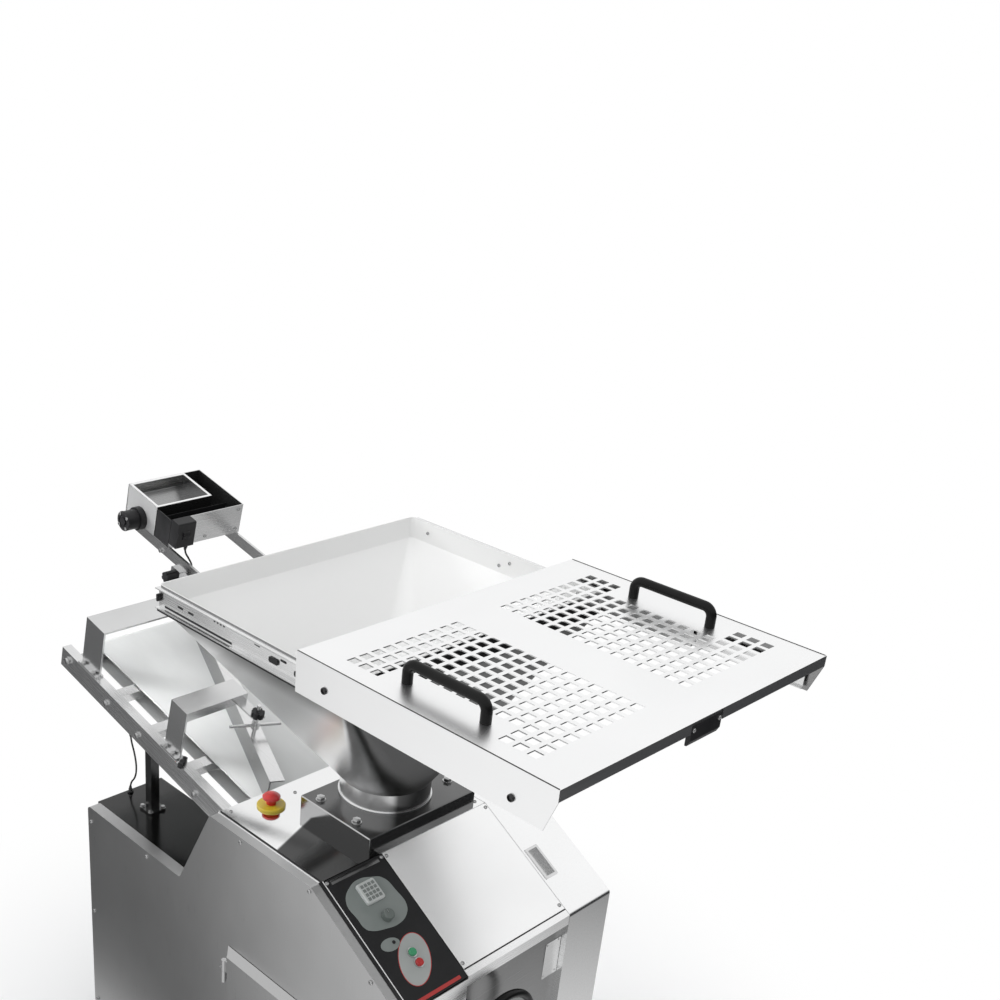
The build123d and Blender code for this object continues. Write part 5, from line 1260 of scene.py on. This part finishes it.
# screws that hold the slides to the hopper collar
collarScrews = {"spots": [(-0.076, 1.433), (-0.106, 1.447), (-0.300, 1.441), (0.150, 1.441)], "inside": 0.2}
collarPlaces = []
for y, z in collarScrews["spots"]:
    collarPlaces += seats("hopper", [(collarScrews["inside"], y, z)], across)
    collarPlaces += seats("hopper", [(-collarScrews["inside"], y, z)], -across)
fasten(smallScrew, collarPlaces, "collarScrews")

# handwheel hub nut
hubNut = {"start": (-0.055, -0.70, 0.640)}
fasten(frameBolt, seats("handwheel", [hubNut["start"]], rearward), "hubNut", "handwheel")

# quarter-turn lock of the side door
doorLock = {
    "start": (-0.5, -0.446, 0.430), "radius": 0.013, "rise": 0.0055, "round": 0.0014, "rim": 0.0022,
    "dish": 0.0022, "slot": (0.0035, 0.017, 0.003), "slotHeight": 0.0042,
}
lock = startDisc(32, doorLock["radius"], doorLock["rise"], doorLock["round"], 3)
pick(lock, "FACE", atHeight(doorLock["rise"]))
bpy.ops.mesh.inset(thickness=doorLock["rim"])
extrudeBy(-doorLock["dish"])
bpy.ops.mesh.primitive_cube_add(size=1, location=(0, 0, doorLock["slotHeight"]), scale=doorLock["slot"])
leaveEdit(lock)
fasten(lock, seats("side_door", [doorLock["start"]], across), "doorLock", "side_door")
print("plate, collar, handwheel and door fitted")

# tapered sleeves where the cables leave their glands, with a nut on each gland
cableEnds = {
    "sleeve": {
        "radius": 0.0046, "collar": 0.0010,
        "steps": [
            (0.0012, 0.90), (0.0005, 0.86), (0.0012, 1.0), (0.0003, 1.06), (0.0012, 0.96), (0.0005, 0.88),
            (0.0016, 0.96), (0.0012, 0.84),
        ],
    },
    "nut": {"flats": 0.0132, "height": 0.0042, "round": 0.0006, "back": 0.0095},
    "glands": [(dusterRoute[0], -beltOut), (conveyorRoute[0], -upward), (conveyorRoute[-1], upward)],
    "plain": (dusterRoute[-1], across),
}


def cableSleeve(look):
    sleeve = startCylinder(20, look["radius"], look["collar"])
    height = look["collar"]
    for step, shrink in look["steps"]:
        pick(sleeve, "FACE", atHeight(height))
        extrudeBy(step)
        height += step
        bpy.ops.transform.resize(value=(shrink, shrink, 1), center_override=(0, 0, height))
    return leaveEdit(sleeve, 50)


def glandNut(look):
    nut = startCylinder(6, look["flats"] / math.sqrt(3), look["height"])
    bevelEdges(nut, lambda edge: not upright(edge), look["round"], 2)
    return leaveEdit(nut)


glands = cableEnds["glands"]
sleevePlaces = [standAt(*end) for end in (glands[0], cableEnds["plain"], *glands[1:])]
sleeve = spreadCopies(cableSleeve(cableEnds["sleeve"]), sleevePlaces)
dress(sleeve, "cableSleeves", "machine", "cableRubber")
nutPlaces = [standAt(point - outward * cableEnds["nut"]["back"], outward) for point, outward in glands]
dressBlack(spreadCopies(glandNut(cableEnds["nut"]), nutPlaces), "glandNuts")

# conveyor: roller axle nuts, tension plates, bolts of the arm, the bridge and the post
conveyor = {
    "outside": 0.30, "above": 0.2,
    "tailAxle": -0.028, "driveAxle": 0.650, "axleOut": -0.024,
    "plate": (0.058, 0.026, 0.0025), "plateCorner": 0.004, "plateRound": 0.0006,
    "railBolts": [0.090, 0.330, 0.470], "railOut": -0.033,
    "armBolts": [0.198, 0.228], "bridgeBolts": [0.545, 0.592], "flange": 0.2178,
    "postBolts": [(x, y, 0.80) for x in (-0.2300, -0.1940) for y in (0.4472, 0.4832)],
}
plateThick = conveyor["plate"][2]
tensionPlate = startBlock(conveyor["plate"])
bevelEdges(tensionPlate, upright, conveyor["plateCorner"], 3)
bevelEdges(tensionPlate, atHeight(plateThick), conveyor["plateRound"], 2)
leaveEdit(tensionPlate)
axlePlaces, platePlaces, railPlaces = [], [], []
for side in (-1, 1):
    outward = side * across
    lineX = side * conveyor["outside"]
    tailSeat = seatOn("conveyor_frame", beltPoint(lineX, conveyor["tailAxle"], conveyor["axleOut"]), -outward)
    platePlaces.append(frameAt(tailSeat, beltAlong, outward))
    axlePlaces.append(standAt(tailSeat + outward * plateThick, outward))
    driveStart = beltPoint(lineX, conveyor["driveAxle"], conveyor["axleOut"])
    axlePlaces += seats("conveyor_frame", [driveStart], -outward)
    boltStarts = [beltPoint(lineX, along, conveyor["railOut"]) for along in conveyor["railBolts"]]
    railPlaces += seats("conveyor_frame", boltStarts, -outward)
dress(spreadCopies(tensionPlate, platePlaces), "tensionPlates", "machine", "satinSteel")
fasten(slabBolt, axlePlaces, "axleNuts")
fasten(frameBolt, railPlaces, "railBolts")
flangePlaces = []
for nodeName, x, bolts in (
    ("guide_arm", -conveyor["flange"], conveyor["armBolts"]),
    ("rear_bridge", -conveyor["flange"], conveyor["bridgeBolts"]),
    ("rear_bridge", conveyor["flange"], conveyor["bridgeBolts"]),
):
    flangePlaces += seats(nodeName, [beltPoint(x, along, conveyor["above"]) for along in bolts], -beltOut)
flangePlaces += seats("conveyor_post", conveyor["postBolts"], -upward)
fasten(lightBolt, flangePlaces, "flangeBolts")

# wing knob at the foot of the guide arm
wingKnob = {
    "start": (-0.2165, 0.160, 0.2), "turn": 0.5, "radius": 0.0075, "hub": 0.011, "reach": 0.0085,
    "flare": 1.35, "round": 0.0006,
}
wing = startCylinder(12, wingKnob["radius"], wingKnob["hub"])
pick(wing, "FACE", lambda face: abs(face.normal.x) > 0.96)
bpy.ops.mesh.extrude_region_shrink_fatten(TRANSFORM_OT_shrink_fatten={"value": wingKnob["reach"]})
bpy.ops.transform.resize(value=(1.0, 1.0, wingKnob["flare"]), center_override=(0, 0, wingKnob["hub"] * 0.2))
bevelEdges(wing, everyEdge, wingKnob["round"], 2)
leaveEdit(wing)
wingPlaces = seats("conveyor_frame", [beltPoint(*wingKnob["start"])], -beltOut, wingKnob["turn"])
dressBlack(spreadCopies(wing, wingPlaces), "wingKnob")
print("cables and conveyor fitted")

# duster: rim of the flour bin, dark end cover, black liner and baffle as painted shade inside the housing,
# motor cap, screws
duster = {
    "rim": {
        "left": -0.105, "right": 0.055, "front": 0.062, "rear": 0.180, "width": 0.0065, "thick": 0.0014,
        "round": 0.0004, "lift": 0.0001,
    },
    "endCover": {
        "across": -0.1025, "front": 0.0035, "rear": 0.0600, "low": -0.0760, "top": -0.0030, "thick": 0.0025,
        "round": 0.003, "rim": 0.0024, "dish": 0.0010,
    },
    "shadeLiner": {
        "left": -0.1020, "right": 0.1020, "front": 0.0035, "rear": 0.0600, "low": -0.0740, "thick": 0.0015,
        "baffle": 0.046, "round": 0.0006,
    },
    "cap": {
        "start": (-0.3, 0.121, -0.059), "radius": 0.0245, "rise": 0.0040, "round": 0.0015,
        "steps": [(0.007, -0.0016), (0.006, 0.0030)], "bolts": 0.0195, "boltDepth": 0.95,
    },
    "frontScrews": [(0.092, -0.012), (0.092, -0.066), (0.000, -0.066)], "ahead": -0.08,
    "armBolts": [0.030, 0.150], "armOut": -0.100, "outside": 0.3,
}
rim = duster["rim"]
clearSelection()
bpy.ops.mesh.primitive_plane_add(size=1)
binRim = bpy.context.object
binRim.scale = (rim["right"] - rim["left"], rim["rear"] - rim["front"], 1)
openPrimitive()
bpy.ops.mesh.select_all(action="SELECT")
bpy.ops.mesh.inset(thickness=rim["width"])
bpy.ops.mesh.delete(type="FACE")
onlyThese(binRim)
applyModifier(binRim, "SOLIDIFY", thickness=rim["thick"], offset=1)
applyModifier(binRim, "BEVEL", width=rim["round"], segments=2)
rimMiddle = dusterPoint(middleOf(rim["left"], rim["right"]), middleOf(rim["front"], rim["rear"]), rim["lift"])
settle(binRim, frameAt(rimMiddle, across, beltOut))
dress(binRim, "binRim", "machine", "lidSteel")

cover = duster["endCover"]
endCover = dishedPlate((cover["rear"] - cover["front"], cover["top"] - cover["low"], cover["thick"]), cover)
coverMiddle = dusterPoint(
    cover["across"], middleOf(cover["front"], cover["rear"]), middleOf(cover["low"], cover["top"]),
)
settle(endCover, frameAt(coverMiddle, -beltAlong, -across))
cap = duster["cap"]
motorCap = startDisc(40, cap["radius"], cap["rise"], cap["round"], 3)
pick(motorCap, "FACE", atHeight(cap["rise"]))
for inset, step in cap["steps"]:
    bpy.ops.mesh.inset(thickness=inset)
    extrudeBy(step)
leaveEdit(motorCap)
capSeat = seatOn("duster_motor", dusterPoint(*cap["start"]), across)
settle(motorCap, frameAt(capSeat, -beltAlong, -across))
# black liner plate on the housing floor and a baffle: dark sheets that paint the shade inside the duster
shadeLiner = duster["shadeLiner"]
shadeLiners = []
for depth, rise, along, low in (
    (shadeLiner["rear"] - shadeLiner["front"], shadeLiner["thick"], middleOf(shadeLiner["front"], shadeLiner["rear"]), shadeLiner["low"]),
    (shadeLiner["thick"], shadeLiner["baffle"], shadeLiner["rear"] - shadeLiner["thick"] / 2, shadeLiner["low"] + shadeLiner["thick"]),
):
    linerPlate = roundedBlock((shadeLiner["right"] - shadeLiner["left"], depth, rise), everyEdge, shadeLiner["round"], 1)
    linerFoot = dusterPoint(middleOf(shadeLiner["left"], shadeLiner["right"]), along, low)
    shadeLiners.append(settle(linerPlate, frameAt(linerFoot, across, beltOut)))
dressBlack(joinPieces([endCover, motorCap, *shadeLiners]), "dusterCoversAndShadeLiners")

frontStarts = [dusterPoint(x, duster["ahead"], out) for x, out in duster["frontScrews"]]
dusterScrews = seats("duster_housing", frontStarts, beltAlong)
capFace = capSeat - across * cap["rise"] * cap["boltDepth"]
for quarter in range(4):
    spread = Matrix.Rotation(math.pi / 4 + quarter * math.pi / 2, 3, "X") @ (beltOut * cap["bolts"])
    dusterScrews.append(standAt(capFace + spread, -across))
fasten(smallScrew, dusterScrews, "dusterScrews")
armPlaces = []
for side in (-1, 1):
    lineX = side * duster["outside"]
    starts = [dusterPoint(lineX, along, duster["armOut"]) for along in duster["armBolts"]]
    armPlaces += seats("duster_arms", starts, -side * across)
fasten(lightBolt, armPlaces, "armBolts")
print("duster fitted")

# the left cover with its service opening cut behind the door, and a rubber seal round it
serviceDoor = {
    "front": -0.460, "rear": -0.012, "low": 0.216, "high": 0.644, "wall": -0.330, "depth": 0.030,
    "corner": 0.012, "merge": 0.00001, "sealWidth": 0.008, "sealRise": 0.0022,
}
openWidth = serviceDoor["rear"] - serviceDoor["front"]
openHeight = serviceDoor["high"] - serviceDoor["low"]
openMiddle = Vector((
    serviceDoor["wall"], middleOf(serviceDoor["front"], serviceDoor["rear"]),
    middleOf(serviceDoor["low"], serviceDoor["high"]),
))
clearSelection()
bpy.ops.mesh.primitive_cube_add(
    size=1, location=openMiddle, scale=(serviceDoor["depth"], openWidth, openHeight),
)
cutter = openPrimitive()
bevelEdges(
    cutter, lambda edge: abs(edge.verts[0].co.x - edge.verts[1].co.x) > 0.02, serviceDoor["corner"], 5,
)
leaveEdit(cutter)
openedCover = bpy.data.objects.new("openedCover", nodes["left_side_cover"].data.copy())
bpy.context.collection.objects.link(openedCover)
onlyThese(openedCover)
bpy.ops.object.mode_set(mode="EDIT")
bpy.ops.mesh.select_all(action="SELECT")
bpy.ops.mesh.remove_doubles(threshold=serviceDoor["merge"])
bpy.ops.object.mode_set(mode="OBJECT")
applyModifier(openedCover, "BOOLEAN", operation="DIFFERENCE", solver="EXACT", object=cutter)
bpy.data.objects.remove(cutter)
bpy.ops.object.shade_flat()
dress(openedCover, "openedCover", "machine", "sideSteel")
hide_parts("left_side_cover")

# seal: a flat ring whose inner face is taken out
sealWidth = serviceDoor["sealWidth"]
doorSeal = startBlock((openWidth + 2 * sealWidth, openHeight + 2 * sealWidth, serviceDoor["sealRise"]))
bevelEdges(doorSeal, upright, serviceDoor["corner"] + sealWidth, 6)
pick(doorSeal, "FACE", lambda face: abs(face.normal.z) > 0.9)
bpy.ops.mesh.inset(thickness=sealWidth)
bpy.ops.mesh.bridge_edge_loops()
settle(leaveEdit(doorSeal, 40), frameAt(openMiddle, rearward, -across))
dress(doorSeal, "doorSeal", "machine", "cableRubber")
print("service opening cut")

for template in templates:
    bpy.data.objects.remove(template)

print("scene ready")
